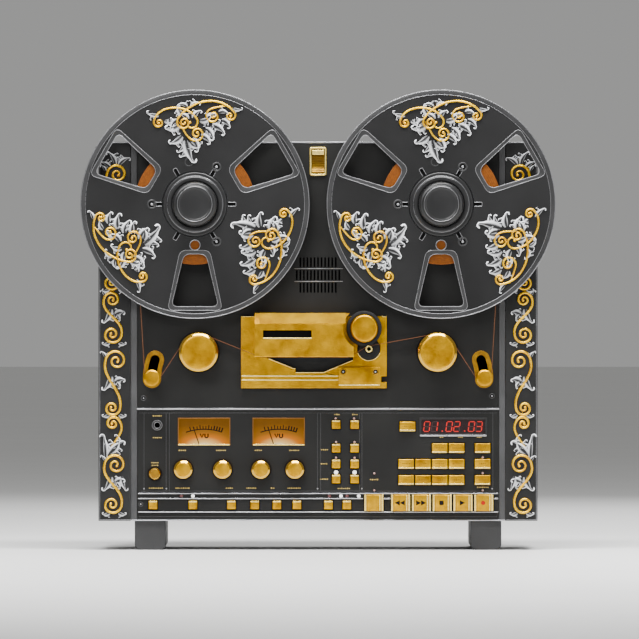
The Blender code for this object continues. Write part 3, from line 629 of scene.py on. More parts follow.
def ornament(name, scrolls, leaves, body, x, z, front, turns=(0,), mirror=1):
    """Scrolls and leaves on a face, repeated at each turn about (x, z)."""
    wire_paths, boss = [], bmesh.new()
    leaf_mesh = bmesh.new()
    leaf_mesh.verts.layers.float.new("shade")
    for turn in turns:
        spin = Matrix.Rotation(math.radians(turn), 2)
        for path in scrolls:
            placed = []
            for px, pz, depth, radius in path:
                place = spin @ Vector((px * mirror, pz))
                placed.append((place.x, place.y, front + depth, radius))
            wire_paths.append((placed, False))
        for px, pz, size in eyes(scrolls):
            place = spin @ Vector((px * mirror, pz))
            foot = front + 0.5
            dome = [(size * math.cos(a), foot + size * math.sin(a)) for a in (0, 0.4, 0.8, 1.2)]
            add_turned(boss, [(0, front), *dome, (0, foot + size)], place.x, place.y, 20)
        fresh = bmesh.new()
        fresh_shade = fresh.verts.layers.float.new("shade")
        for lx, lz, heading, length, width, bend in leaves:
            if mirror < 0:
                lx, heading, bend = -lx, 180 - heading, -bend
            add_leaf(fresh, fresh_shade, lx, lz, heading, length * 1.1, width * 1.5, bend)
        fresh.transform(
            Matrix.Rotation(math.radians(-turn), 4, "Y") @ Matrix.Translation((0, -front * MM, 0))
        )
        store = bpy.data.meshes.new("leaf")
        fresh.to_mesh(store)
        fresh.free()
        leaf_mesh.from_mesh(store)
        bpy.data.meshes.remove(store)
    bmesh.ops.recalc_face_normals(leaf_mesh, faces=leaf_mesh.faces)
    wires(name + "_scrolls", wire_paths, "scroll_gold", body, x, z)
    piece(name + "_eyes", boss, "scroll_gold", body, x, z)
    piece(name + "_leaves", leaf_mesh, "silver_leaf", body, x, z, smooth=60)


def reel_ornament(side, centre, front):
    scrolls = [
        scroll((-13, 95, 8.6, 130, 1.6, -1), (41, 103, 6.6, 55, 1.35, 1), 1.2),
        scroll((-42, 95, 6.2, 150, 1.35, -1), (-5, 94, 9.6, 55, 0.8, 1), 1.15),
        scroll((2, 82, 8.8, 235, 1.55, -1), (-19.5, 97), 0.9, 1.05),
        scroll((21, 102.5, 9.0, 95, 1.6, -1), (40, 115), 0.8, 1.05),
    ]
    leaves = [
        (-11, 74, 276, 31, 7.0, 24),
        (-15, 79, 236, 20, 5.4, -50),
        (-3, 76, 322, 19, 5.2, -54),
        (-6, 72, 300, 15, 4.4, 56),
        (-18, 92, 226, 20, 5.6, -60),
        (-21, 98, 206, 15, 4.6, 56),
        (7, 80, 352, 17, 5.0, -62),
        (12, 88, 336, 19, 5.4, -54),
        (20, 92, 352, 21, 5.4, -50),
        (31, 98, 350, 16, 4.4, -60),
        (14, 99, 64, 14, 4.4, -62),
        (6, 97, 350, 16, 4.6, 58),
        (-2, 100, 76, 15, 4.4, -58),
        (-8, 99, 118, 14, 4.4, 60),
        (-14, 104, 150, 15, 4.2, -56),
        (28, 107, 24, 13, 3.8, -60),
        (-30, 99, 262, 12, 4.0, 62),
        (-35, 97, 330, 12, 3.6, 60),
        (-9, 113, 128, 14, 3.2, 70),
        (-5, 113, 60, 15, 3.4, -70),
        (-42, 103, 184, 17, 3.4, -34),
        (44, 111, 336, 13, 3.2, 40),
    ]
    ornament("reel_ornament_" + side, scrolls, leaves, REEL_BODY[side], *centre, front, turns=(0, 120, 240))


def cheek_ornament(side, sign, front):
    x0, x1, _, _, _, _ = span("side_cheek_" + side)
    centre = (x0 + x1) / 2
    pairs = [
        ((3, 438, 12.0), (-4, 384, 10.2)),
        ((2, 356, 12.0), (-4, 312, 9.4)),
        ((-3, 292, 9.4), (-3, 251.5, 11.2)),
        ((2, 220.8, 12.6), (-3, 165.6, 9.4)),
        ((1, 99.3, 12.8), (-3, 53, 11.2)),
    ]
    scrolls, leaves = [], []
    for (xa, za, ra), (xb, zb, rb) in pairs:
        scrolls.append(scroll((xa, za, ra, 178, 1.6, 1), (xb, zb, rb, 2, 1.6, 1), 1.12, 1.4))
        mid = (za + zb) / 2
        leaves += [
            (-4, mid + 9, 262, 21, 5.2, -38),
            (1, mid + 3, 44, 13, 4.8, -58),
            (2, mid + 2, 330, 9, 3.4, -50),
            (5, zb - rb + 1.5, 318, 10, 3.2, 60),
            (-6, zb - rb + 1.5, 222, 10, 3.2, -60),
            (-10.5, za + 4, 104, 10, 2.8, 46),
        ]
    scrolls.append(scroll((-2, 147.5, 8.4, 20, 1.5, -1), (-10, 110), 1.1, 1.35))
    leaves += [
        (-10, 106, 88, 33, 4.6, 14),
        (-8, 110, 60, 29, 4.8, -30),
        (-4, 113, 34, 20, 4.2, 40),
        (4, 124, 70, 13, 3.2, 60),
        (8, 86, 274, 20, 4.0, 24),
        (1, 450, 96, 20, 4.0, 50),
        (5, 449, 62, 18, 4.0, -54),
        (-5, 446, 126, 15, 3.4, 46),
    ]
    ornament("cheek_ornament_" + side, scrolls, leaves, "root", centre, 0.0, front, mirror=-sign)


# ---- Case ----


def dress(node, look, bevel=0.0):
    """A CAD solid that stays, with a finish and softened edges."""
    obj = frame["nodes"][node]
    obj.data.materials.clear()
    obj.data.materials.append(MATERIALS[look])
    if bevel:
        obj.modifiers.new("Weld", "WELD").merge_threshold = 1e-5
        round_edges(obj, bevel)


def add_screw(bm, x, z, radius):
    """A countersunk screw head on a cup washer."""
    profile = [
        (
            0, -0.3), (radius, -0.3), (radius, 0.5), (radius * 0.72, 0.9), (radius * 0.62,
            0.35), (radius * 0.3, 0.35,
        ),
        (radius * 0.22, 0.8), (0, 0.8),
    ]
    add_turned(bm, softened(profile, 0.15, 2, closed=False), x, z, 28)


def recessed_screws(name, places, front, body="root", x=0.0, z=0.0, washer="window_grey"):
    """Small pale screw heads in cups with near-black floors, painted shade, each with a bevelled washer: (x,
    z, washer's radius).
    """
    washers, wells, heads = bmesh.new(), bmesh.new(), bmesh.new()
    floor, rim, top = front - 0.05, front + 0.3, front + 0.9
    for px, pz, radius in places:
        cup = radius * 0.68
        ring = [
            (cup - 0.1, floor), (radius, floor), (radius, rim), (radius * 0.82, front + 0.6),
            (cup - 0.1, front + 0.35),
        ]
        add_turned(washers, softened(ring, 0.12, 2), px, pz, 40)
        add_turned(wells, [(0, floor), (cup, floor), (cup, front + 0.22), (0, front + 0.22)], px, pz, 32)
        head = [
            (0, front + 0.1), (radius * 0.26, front + 0.1), (radius * 0.24, front + 0.7),
            (radius * 0.13, top), (0, top),
        ]
        add_turned(heads, softened(head, 0.2, 3, closed=False), px, pz, 24)
    piece(name + "_washers", washers, washer, body, x, z, slot="steel")
    piece(name + "_wells", wells, "cavity_painted_shade", body, x, z)
    piece(name + "_heads", heads, "steel", body, x, z)


def make_case():
    finishes = {
        "chassis_frame": (
            "frame", 0.5), "rear_cover": ("panel", 0.6), "connector_panel": ("black_plastic", 0.3
        ),
        "deck_plate": ("panel", 0.0), "control_panel": ("panel", 0.0),
    }
    for node, finish in finishes.items():
        dress(node, *finish)
    for side, sign in SIDES:
        dress("side_cheek_" + side, "lacquer", 0.8)
        dress("foot_" + side, "foot", 1.2)
        x0, x1, z0, z1, _, _ = span("side_cheek_" + side)
        face = rectangle(x0 + 1, x1 - 1, z0 + 1, z1 - 1)
        plate("cheek_face_" + side, [face], 0.02, 0.25, "cheek_face", bevel=0.1)
        edge = (x0 + 1.2, x0 + 1.8) if sign < 0 else (x1 - 1.8, x1 - 1.2)
        lines = [(*edge, z0 + 1.0, z1 - 1.0, 0.2, 0.55)]
        lines += [(x0 + 1, x1, z, z + 0.7, 0.2, 0.55) for z in (z0 + 0.8, z1 - 1.5)]
        strips("cheek_lines_" + side, lines, "edge_grey")
        cheek_ornament(side, sign, 0.25)
    x0, x1, z0, z1, _, _ = span("chassis_frame")
    shelf = (span("control_panel")[3] + span("deck_plate")[2]) / 2
    # Pale strips along the frame's top and bottom edges and across the shelf between the panels: painted
    # highlight lines.
    lines = [
        (x0 + 6.5, x1 - 6.5, z1 - 1.4, z1, 0.0, 0.6), (x0 + 0.3, x1 - 0.3, z0, z0 + 1.2, 0.0, 0.6),
        (x0 + 6.8, x1 - 6.8, shelf - 0.7, shelf + 0.7, -0.3, 1.2),
    ]
    strips("edge_painted_highlights", lines, "silver_trim_and_highlight")


def make_panels():
    """Rails, seams, lamps and screws on the two front panels."""
    x0, x1 = span("control_panel")[:2]
    pause_left = span("pause_key")[0]
    bars = []
    for z, end in ((65.9, x1), (60.0, pause_left - 0.5), (44.3, x1)):
        bars.append((x0 + 0.8, end - 0.8, z - 0.5, z + 0.5, 1.5, 2.0))
    gaps = [span(key)[:2] for key in ("pause_key", "rewind_key", "record_key")]
    for start, end in ((gaps[0][1] + 0.4, gaps[1][0] - 0.4), (gaps[2][1] + 0.4, x1 - 0.8)):
        bars.append((start, end, 59.2, 60.8, 0.0, 1.6))
    strips("panel_rails", bars, "silver_trim_and_highlight")
    uprights = (-202.9, -177.1, -173.4, -0.6, 3.0, 48.4, 51.2, 203.8)
    seams = [(x - 0.25, x + 0.25, 69.0, 159.5, 0.0, 0.25) for x in uprights]
    seams.append((x0 + 4, x1 - 4, 68.4, 68.9, 0.0, 0.25))
    seams.append((x0 + 2, x1 - 2, 38.6, 39.1, 0.0, 0.3))
    seams.append((x0 + 2, x1 - 2, 159.6, 160.0, 0.0, 0.3))
    strips("panel_seams", seams, "seam_grey")

    recessed_screws("panel_screws", ((-203.4, 177.1, 3.3), (202.8, 179.7, 3.3), (-206.8, 53.6, 3.1)), 0.0)
    pins = bmesh.new()
    for x in (-202.9, -176.8, -0.6, 51.1, 202.9):
        add_turned(pins, [(0, 0), (0.9, 0), (0.7, 0.6), (0, 0.8)], x, 71.6, 14)
    piece("panel_pins", pins, "silver_trim_and_highlight")

    lamps = {"lamp_rose": [], "lamp_white": [], "lamp_off": []}
    for x in (21.0, 42.6):
        lamps["lamp_rose"] += [(x - 0.6, 153.3, 1.3), (x, 125.9, 1.3), (x, 107.6, 1.3)]
        lamps["lamp_white"].append((x, 90.6, 2.4))
    lamps[
        "lamp_rose"] += [(65.6, 89.4, 1.3), (65.6, 69.6, 1.2)] + [(192.0, z, 1.3) for z in (108.0, 89.6, 69.4)
    ]
    lamps["lamp_white"] += [(-145.9, 63.0, 2.1), (26.7, 63.0, 2.1), (47.5, 63.0, 2.1)]
    lamps["lamp_off"] += [(-159.4, 63.0, 1.9), (13.1, 63.0, 1.9), (33.8, 63.0, 1.9)]
    sockets = bmesh.new()
    for look, places in lamps.items():
        bm = bmesh.new()
        for x, z, radius in places:
            dome = [(0, 0), (radius, 0), (radius, 0.9), (radius * 0.6, 1.5), (0, 1.7)]
            add_turned(bm, softened(dome, 0.5, 3, closed=False), x, z, 24)
            socket = [(radius + 0.05, 0), (radius + 0.75, 0), (radius + 0.6, 0.5), (radius + 0.05, 0.5)]
            add_turned(sockets, socket, x, z, 24)
        piece(look + "s", bm, look)
    piece("lamp_sockets", sockets, "ink")


def make_vents():
    """A near-black plate behind the deck plate's slots, painted shade, and the ribs between the rows."""
    ribs = [(-27.5, 29.0, z - 0.35, z + 0.35, 0.0, 0.35) for z in (328.1, 313.2)]
    strips("vent_ribs", ribs, "edge_grey", slot="frame_grey")
    plate("vent_painted_shade", [rectangle(-34, 34, 294, 348)], -24.0, -22.0, "cavity_painted_shade")


def dashes(name, marks, look="ink_gold", front=0.0, body="root"):
    """Tiny unreadable label strokes: each (x, z, width), split into a few short bars."""
    bm = bmesh.new()
    for index, (x, z, width) in enumerate(marks):
        count = max(2, int(width / 1.9))
        pitch = width / count
        for k in range(count):
            tall = 1.1 if (k + index) % 3 else 1.5
            add_key(
                bm, x - width / 2 + pitch * (k + 0.5), z, pitch * 0.68, tall, front, front + 0.16, 0.05, 0.1
            )
    piece(name, bm, look, body)


def make_labels():
    marks = [
        (-187.5, 156.4, 11), (-187.5, 131.0, 11), (-190.2, 101.8, 9), (-190.2, 98.7, 8), (-189.0, 72.2, 17),
        (-158.0, 72.2, 17), (-158.2, 116.2, 9), (-113.2, 116.2, 12), (-69.6, 116.2, 9), (-27.8, 116.2, 12),
        (
            -103.5, 72.2, 9), (-77.8, 72.2, 12), (-53.0, 72.2, 5), (-28.0, 72.2, 16), (7.5, 117.0, 9), (7.0,
            100.6, 8,
        ),
        (
            7.0, 82.6, 10), (22.0, 158.0, 7), (43.0, 158.0, 7), (30.0, 71.8, 15), (65.4, 82.2, 10), (144.0,
            131.6, 5,
        ),
        (166.0, 131.6, 6), (188.0, 131.6, 6), (192.0, 73.2, 14),
    ]
    dashes("panel_labels", marks)


# ---- Meters and display ----


def make_meter(side):
    x, z = axis_of(f"vu_needle_{side}_swing")[0], (span("control_panel")[3] + 113.5) / 2
    width, height = 61.0, 32.3
    dress("vu_meter_" + side, "dial_frame", 0.0)
    card = softened(centred(width - 0.6, height - 0.6), 0.6)
    plate("dial_card_" + side, [card], -10.6, -10.2, "dial_card", x=x, z=z)
    outer, inner = softened(centred(width, height), 0.5), softened(centred(width - 2.2, height - 2.2), 0.4)
    plate("dial_frame_" + side, [outer, inner], -3.6, 0.7, "dial_frame", x=x, z=z, bevel=0.25)
    # A pale strip along the frame's foot: painted highlight.
    half, foot = width / 2 - 0.5, z - height / 2
    strips("dial_lip_" + side, [(x - half, x + half, foot + 0.1, foot + 1.5, -0.5, 1.0)], "gold_painted_highlight")

    pivot = (0.0, -62.4)
    marks = [([(px, pz, DIAL_MARKS, 0.6) for px, pz in arc(*pivot, SCALE_RADIUS, 109.0, 71.5, 28)], False)]
    for k in range(12):
        angle = 104.0 - 32.0 * (k / 11) ** 0.9
        long = 4.6 if k % 3 == 0 or k > 7 else 3.4
        tick = arc(*pivot, 65.4, angle, angle, 1)[:1] + arc(*pivot, 65.4 + long, angle, angle, 1)[:1]
        marks.append(([(px, pz, DIAL_MARKS, 0.8 if k > 7 else 0.55) for px, pz in tick], False))
    letters = (
        [(-4.6, -2.6), (-2.6, -7.2), (-0.9, -2.6)],
        [(0.9, -2.6), (0.9, -5.8), (1.5, -6.9), (2.7, -7.3), (3.9, -6.9), (4.5, -5.8), (4.5, -2.6)],
    )
    for stroke in letters:
        marks.append(([(px, pz, DIAL_MARKS, 0.75) for px, pz in stroke], False))
    wires("dial_marks_" + side, marks, "ink", x=x, z=z)

    body = "vu_needle_" + side
    px, pz = axis_of(body + "_swing")
    lean = math.radians(19)
    bm = bmesh.new()
    tip = Vector((-math.sin(lean), math.cos(lean)))
    aside = Vector((math.cos(lean), math.sin(lean)))
    blade = [
        tuple(tip * length + aside * half) for length, half in ((0, -0.8), (0, 0.8), (40, 0.42), (40, -0.42))
    ]
    add_plate(bm, [blade], -8.6, -8.2)
    add_turned(bm, softened([(0, -9.6), (3, -9.6), (3, -7.0), (0, -7.0)], 0.4, 3, closed=False), steps=32)
    piece("needle_" + side, bm, "ink", body, px, pz, replaces=body)


SEGMENTS = {"0": "abcdef", "1": "bc", "2": "abged", "3": "abgcd"}


def add_segment(bm, start, end, half, front, shear):
    """One bar of a digit, with pointed ends."""
    a, b = Vector(start), Vector(end)
    along = (b - a).normalized()
    aside = Vector((-along.y, along.x)) * half
    a, b = a + along * 0.35, b - along * 0.35
    near, far = a + along * half, b - along * half
    corners = [a, near + aside, far + aside, b, far - aside, near - aside]
    add_plate(bm, [[(p.x + p.y * shear, p.y) for p in corners]], front, front + 0.25)


def make_display():
    x0, x1, z0, z1, back, front = span("counter_display")
    plate(
        "display_glass", [softened(rectangle(x0, x1, z0, z1), 0.6)], back, front, "smoked_glass", bevel=0.2,
        replaces="counter_display",
    )
    outer = softened(rectangle(x0 - 1.6, x1 + 1.6, z0 - 1.6, z1 + 1.6), 0.6)
    inner = softened(rectangle(x0 + 0.4, x1 - 0.4, z0 + 0.4, z1 - 0.4), 0.5)
    plate("display_bezel", [outer, inner], 0.02, 0.9, "hub_black", bevel=0.25, slot="plastic_black")
    strips("display_lip", [(x0 - 1.2, x1 + 1.0, z0 - 2.6, z0 - 1.0, 0.0, 1.4)], "silver_trim_and_highlight")
    width, height, shear = 6.5, 11.4, 0.13
    corner = {
        "a": ((0, 1), (1, 1)), "b": ((1, 1), (1, 0.5)), "c": ((1, 0.5), (1, 0)), "d": ((0, 0), (1, 0)),
        "e": ((0, 0.5), (0, 0)), "f": ((0, 1), (0, 0.5)), "g": ((0, 0.5), (1, 0.5)),
    }
    lit, unlit = bmesh.new(), bmesh.new()
    pitch = 8.9
    left = x0 + 3.6
    place = 0.0
    for group in ("01", "02", "03"):
        for digit in group:
            for segment, (a, b) in corner.items():
                target = lit if segment in SEGMENTS[digit] else unlit
                start = (left + place + a[0] * width, (a[1] - 0.5) * height)
                end = (left + place + b[0] * width, (b[1] - 0.5) * height)
                add_segment(target, start, end, 0.58, front + 0.05, shear)
            place += pitch
        if group != "03":
            dot = softened(centred(1.5, 1.5, left + place + 3.4, -height / 2 + 0.4), 0.3)
            add_plate(lit, [dot], front + 0.05, front + 0.3)
            place += 8.2
    z = (z0 + z1) / 2
    piece("digits_lit", lit, "digit_lit", z=z)
    piece("digits_unlit", unlit, "digit_dark", z=z)


# ---- Keys, knobs and the rocker ----

SELECTOR_COLUMNS = (21.0, 42.6)
SELECTOR_ROWS = (146.3, 118.8, 100.4, 82.8)
MODE_COLUMNS = (-192.5, -145.9, -101.0, -73.8, -48.0, -24.7, 12.0, 33.5)
MODE_ROW = 52.6
LOCATOR_COLUMNS = (102.7, 122.2, 141.8, 161.4, 191.7)
LOCATOR_ROWS = (100.4, 81.6)


def make_keypad(name, places, width, height, lip):
    """Key tops with a pale lip along one edge, a painted highlight, each in a dark ring of painted shadow."""
    x0, x1, z0, z1, back, front = span(name)
    tops, lips, painted_shadows = bmesh.new(), bmesh.new(), bmesh.new()
    for x, z in places:
        add_key(tops, x, z, width, height, -9.0, front, 0.7, 0.7)
        # A pale strip along one edge: painted highlight.
        edge = z + lip * (height / 2 - 0.9)
        add_key(lips, x, edge, width - 0.5, 1.5, front - 0.5, front + 0.22, 0.2, 0.2)
        # A dark ring round the key: painted shadow in the gap.
        outer = softened(centred(width + 2.4, height + 2.4, x, z), 0.8)
        add_plate(painted_shadows, [outer, softened(centred(width + 0.7, height + 0.7, x, z), 0.5)], 0.0, 0.3)
    carrier = rectangle(x0, x1, z0, z1) if name != "locator_keypad" else locator_carrier(x0, x1, z0, z1)
    add_plate(tops, [carrier], back, -8.0)
    piece(name + "_tops", tops, "gold", name, replaces=name)
    piece(name + "_lips", lips, "gold_painted_highlight", name)
    piece(name + "_surrounds", painted_shadows, "ink")


def locator_carrier(x0, x1, z0, z1):
    return [(x0, z0), (x1, z0), (x1, z0 + 51.5), (x0 + 23, z0 + 51.5), (x0 + 23, z1), (x0, z1)]


def make_keypads():
    selector = [(x, z) for x in SELECTOR_COLUMNS for z in SELECTOR_ROWS]
    make_keypad("selector_keypad", selector, 9.7, 9.7, 1)
    make_keypad("mode_keypad", [(x, MODE_ROW) for x in MODE_COLUMNS], 9.8, 9.6, 1)
    locator = [(104.2, 144.0)] + [(x, 118.8) for x in LOCATOR_COLUMNS[2:]]
    locator += [(x, z) for x in LOCATOR_COLUMNS for z in LOCATOR_ROWS]
    make_keypad("locator_keypad", locator, 18.0, 11.0, -1)
    blank = (LOCATOR_COLUMNS[0], LOCATOR_ROWS[1])
    marks = [(x, z + 0.4, 8.5 + (i % 3)) for i, (x, z) in enumerate(locator) if (x, z) != blank]
    dashes("locator_marks", marks, "gold_aged", span("locator_keypad")[5], "locator_keypad")


def arrow(x, z, size, direction):
    return [(x - direction * size, z - size), (x + direction * size, z), (x - direction * size, z + size)]


def make_transport_keys():
    symbols = {
        "rewind_key": [arrow(-3.2, 0, 3.0, -1), arrow(2.6, 0, 3.0, -1)],
        "fast_forward_key": [arrow(-2.4, 0, 3.0, 1), arrow(3.4, 0, 3.0, 1)],
        "stop_key": [softened(centred(5.2, 5.0), 1.4)],
        "play_key": [arrow(0.2, 0, 3.0, 1)],
        "record_key": [circle(0, 0, 2.4, 24)],
        "pause_key": [],
    }
    painted_shadows = bmesh.new()
    for key, shapes in symbols.items():
        x, z = middle(key)
        x0, x1, z0, z1, back, front = span(key)
        width, height = x1 - x0, z1 - z0
        bm = bmesh.new()
        add_key(bm, 0, 0, 12.0, 8.0, back, 4.5, 0.2, 0.3)
        add_key(bm, 0, 0, width - 6.4, height, 4.0, front, 0.7, 0.6)
        add_key(bm, 0, 0, width - 1.0, height - 0.6, 4.0, front - 1.4, 0.4, 0.6)
        piece(key + "_body", bm, "gold", key, x, z, replaces=key)
        # Pale ribs at the sides and a pale bar: painted highlights.
        ribs = bmesh.new()
        for side in (-1, 1):
            add_key(ribs, side * (width / 2 - 1.3), 0, 2.1, height - 0.2, 4.3, front - 0.2, 0.5, 0.5)
        add_key(ribs, width / 2 - 4.2, 0, 1.3, height - 1.0, front - 1.0, front + 0.15, 0.3, 0.3)
        piece(key + "_ribs", ribs, "gold_painted_highlight", key, x, z)
        if shapes:
            mark = bmesh.new()
            for shape in shapes:
                add_plate(mark, [[(px - 0.8, pz) for px, pz in shape]], front - 0.1, front + 0.12)
            piece(key + "_symbol", mark, "ink_red" if key == "record_key" else "ink", key, x, z)
        # A dark ring round each key: painted shadow in the gap.
        outer = softened(centred(width + 2.2, height + 2.2, x, z), 0.6)
        add_plate(painted_shadows, [outer, centred(13.0, 9.0, x, z)], 0.0, 0.4)
    piece("transport_surrounds", painted_shadows, "ink")


def make_knobs():
    knobs = [(f"level_knob_{n}", 10.7, "gold") for n in (1, 2, 3, 4)] + [("pitch_knob", 7.0, "gold_aged")]
    for name, radius, look in knobs:
        x, z = axis_of(name + "_turn")
        _, _, _, _, back, front = span(name)
        profile = [
            (
                0, back), (3, back), (3, 1.4), (radius * 0.98, 1.4), (radius, front - 2.3), (radius * 0.78,
                front - 0.5,
            ),
            (radius * 0.75, front - 0.7), (radius * 0.7, front - 0.15), (0, front),
        ]
        turned(name + "_cap", profile, look, name, x, z, soft=0.35, replaces=name)
        chamfer = ((radius - 0.15, -2.25), (radius, -2.15), (radius * 0.78, -0.35), (radius * 0.78, -0.6))
        turned(
            name + "_gleam", [(r, front + depth) for r, depth in chamfer], "gold_gleam", name, x, z,
            soft=0.05,
        )
        ring = [(radius + 0.1, 0.0), (radius + 1.9, 0.0), (radius + 1.7, 0.6), (radius + 0.1, 0.6)]
        turned(name + "_shadow_ring", ring, "ink", x=x, z=z, soft=0.1)


def make_rocker():
    """A ribbed hollow in a darker gold, painted shade, with a pale lip above it, a painted highlight, in a
    rounded frame of the same pale gold.
    """
    x, z = axis_of("power_rocker_rock")
    back = span("power_rocker")[4]
    ribs = 36
    outer, inner = softened(centred(19.4, 33.4), 2.6), softened(centred(15.4, 29.2), 0.7)
    plate("rocker_frame", [outer, inner], 0.02, 2.6, "gold_painted_highlight", x=x, z=z, bevel=0.6)
    outline = [(1.2, -13.4)]
    for k in range(ribs + 1):
        outline.append(
            (1.2 - 2.2 * math.sin(math.pi * k / ribs) + 0.45 * (k % 4 < 2), -12.4 + 18.4 * k / ribs)
        )
    outline += [(3.4, 6.6), (4.3, 7.4), (4.5, 12.6), (3.8, 13.4), (back, 11.2), (back, -11.2)]
    bm = bmesh.new()
    add_drawn(bm, outline, -7.2, 7.2)
    piece("rocker_cap", bm, "gold_painted_shade", "power_rocker", x, z, replaces="power_rocker")
    lip = bmesh.new()
    add_key(lip, 0, 10.4, 13.8, 5.4, 4.0, 4.9, 0.5, 0.6)
    piece("rocker_lip", lip, "gold_painted_highlight", "power_rocker", x, z)


def make_jack():
    x, z = middle("phones_jack")
    _, _, _, _, back, front = span("phones_jack")
    bush = [
        (
            3.3, back + 1.5), (4.2, back), (4.2, 0.3), (6.0, 0.3), (6.0, front - 0.8), (5.0, front), (3.6,
            front,
        ),
        (3.3, front - 0.6),
    ]
    turned("jack_bush", bush, "hub_black", x=x, z=z, soft=0.3, replaces="phones_jack", slot="steel")
    # Grey metal beads round the bush's edges: painted highlights.
    rings = [bead(circle(0, 0, 5.7, 48), front - 0.75, 0.3), bead(circle(0, 0, 3.6, 40), front - 0.2, 0.28)]
    wires("jack_rings", rings, "edge_painted_highlight", x=x, z=z)
    # A near-black disc down the bush: painted shade in the hole.
    well = [(0, back + 1), (3.25, back + 1), (3.25, back + 2), (0, back + 2)]
    turned("jack_well", well, "cavity_painted_shade", x=x, z=z, soft=0.1)


# ---- Reels ----


def window_outline(direction, grow=0.0):
    """A hand hole, widest at the rim. The narrow slit from the lowest one to the threading hole is drawn
    apart from it.
    """
    wide, narrow, far, near = 32.0 + grow, 17.4 + grow, -123.5 - grow, -53.5 + grow
    corners = [(-wide, far), (wide, far), (narrow, near), (-narrow, near)]
    return turned_outline(softened(corners, 8.0, 6), direction - 270)


def bore_outline():
    """The centre hole with its six keyways."""
    half, depth = 2.1, 47.5
    swing = math.degrees(math.asin(half / BORE_RADIUS))
    outline = []
    for around in range(0, 360, 60):
        keyway = softened([(BORE_RADIUS, -half), (depth, -half), (depth, half), (BORE_RADIUS, half)], 1.0, 3)
        outline += turned_outline(keyway[4:-4], around)
        outline += arc(0, 0, BORE_RADIUS, around + swing, around + 60 - swing, 14)
    return outline


def make_reel(side):
    body = REEL_BODY[side]
    x, z = axis_of(body + "_spin")
    at = {"body": body, "x": x, "z": z}
    x0, x1, _, _, back, front = span("reel_front_flange_" + side)
    radius = (x1 - x0) / 2
    rim = circle(0, 0, radius, 200)
    flange = [rim, bore_outline(), circle(0, THREADING_Z, 5.3, 32)] + [
        window_outline(d, 0.1) for d in WINDOW_DIRECTIONS
    ]
    replaced = "reel_front_flange_" + side
    plate("front_flange_" + side, flange, back, front, "flange", bevel=0.3, replaces=replaced, **at)

    # The windows' bevels, with grey metal beads along their edges and round the threading hole and the
    # keyways: painted highlight lines.
    bevels, lips = bmesh.new(), []
    steps = ((0.0, -0.05), (0.0, 0.15), (-1.0, 0.2), (-4.4, -0.5), (-4.6, -1.0), (-0.4, -1.0))
    for direction in WINDOW_DIRECTIONS:
        loops = [
            [bevels.verts.new(spot(px, pz, front + depth)) for px, pz in window_outline(direction, grow)]
            for grow, depth in steps
        ]
        bridge(bevels, loops, closed=True)
        lips.append(bead(window_outline(direction, -4.4), front - 0.55, 0.3))
        lips.append(bead(window_outline(direction, 0.0), front + 0.1, 0.28))
    bmesh.ops.recalc_face_normals(bevels, faces=bevels.faces)
    piece("window_bevels_" + side, bevels, "window_grey", **at)
    lips.append(bead(circle(0, THREADING_Z, 6.0, 40), front, 0.5))
    keyway = softened([(38.6, -2.3), (47.7, -2.3), (47.7, 2.3), (38.6, 2.3)], 1.2, 3, closed=False)
    for around in range(0, 360, 60):
        edge = turned_outline(keyway, around)
        lips.append(([(px, pz, front - 0.05, 0.32) for px, pz in edge], False))
    wires("window_edges_" + side, lips, "edge_painted_highlight", **at)

    # Two grey metal rings just inside the rim: painted highlight lines.
    lines = ((radius - 0.6, front - 0.35, 0.6), (radius - 5.9, front + 0.2, 0.3))
    wires(
        "rim_painted_highlight_" + side, [bead(circle(0, 0, r, 200), depth, thick) for r, depth, thick in lines],
        "painted_highlight_metal", **at,
    )
    band = [(5.9, -0.2), (5.9, 0.25), (5.2, 0.4), (1.2, 0.25), (1.2, -0.2)]
    band = [(radius - inset, front + depth) for inset, depth in band]
    turned("rim_band_" + side, band, "window_grey", soft=0.2, steps=200, **at)

    core = span("reel_core_" + side)[4]
    back_flange = [rim, circle(0, 0, BORE_RADIUS, 120)] + [window_outline(d) for d in WINDOW_DIRECTIONS]
    replaced = "reel_core_" + side
    plate("back_flange_" + side, back_flange, core, core + 1.1, "flange", bevel=0.25, replaces=replaced, **at)
    # A pale ring inside the back flange's rim: painted highlight.
    wires(
        "back_rim_bead_" + side, [bead(circle(0, 0, radius - 0.6, 200), core + 0.55, 0.55)], "silver_trim_and_highlight",
        **at,
    )
    # The hub between the flanges is near black: painted shade.
    hub = [(38.3, core + 0.9), (53.0, core + 0.9), (53.0, back - 0.3), (38.3, back - 0.3)]
    turned("hub_core_" + side, hub, "cavity_painted_shade", soft=0.3, slot="steel", **at)
    plate(
        "threading_slot_" + side, [circle(0, THREADING_Z, 7.0, 32)], back - 0.35, back - 0.1, "tape_pack",
        **at,
    )
    plate(
        "threading_slit_" + side, [centred(2.0, 2.4, 0, -53.1)], front - 0.3, front + 0.08, "tape_pack", **at
    )

    x0, x1, _, _, pack_back, pack_front = span("tape_pack_" + side)
    pack = (x1 - x0) / 2
    layers = [(53.4, pack_back), (pack, pack_back), (pack, pack_front - 0.1)]
    layers += [
        (pack - 1.1 * k, pack_front - (0.0 if k % 2 else 0.14)) for k in range(1, 15)] + [(53.4, pack_front)
    ]
    turned("pack_" + side, layers, "tape_pack", soft=0.15, steps=160, replaces="tape_pack_" + side, **at)

    places = [(*arc(0, 0, 50.2, around, around, 1)[0], 5.6) for around in (60, 180, 300)]
    recessed_screws("reel_screws_" + side, places, front, **at)
    plug = [(3.9, front - 0.1), (5.3, front - 0.1), (5.1, front + 0.25), (4.1, front + 0.25)]
    turned("reel_plug_" + side, plug, "window_grey", body, x - 6.9, z + 49.1, soft=0.1, steps=40)
    reel_ornament(side, (x, z), front)


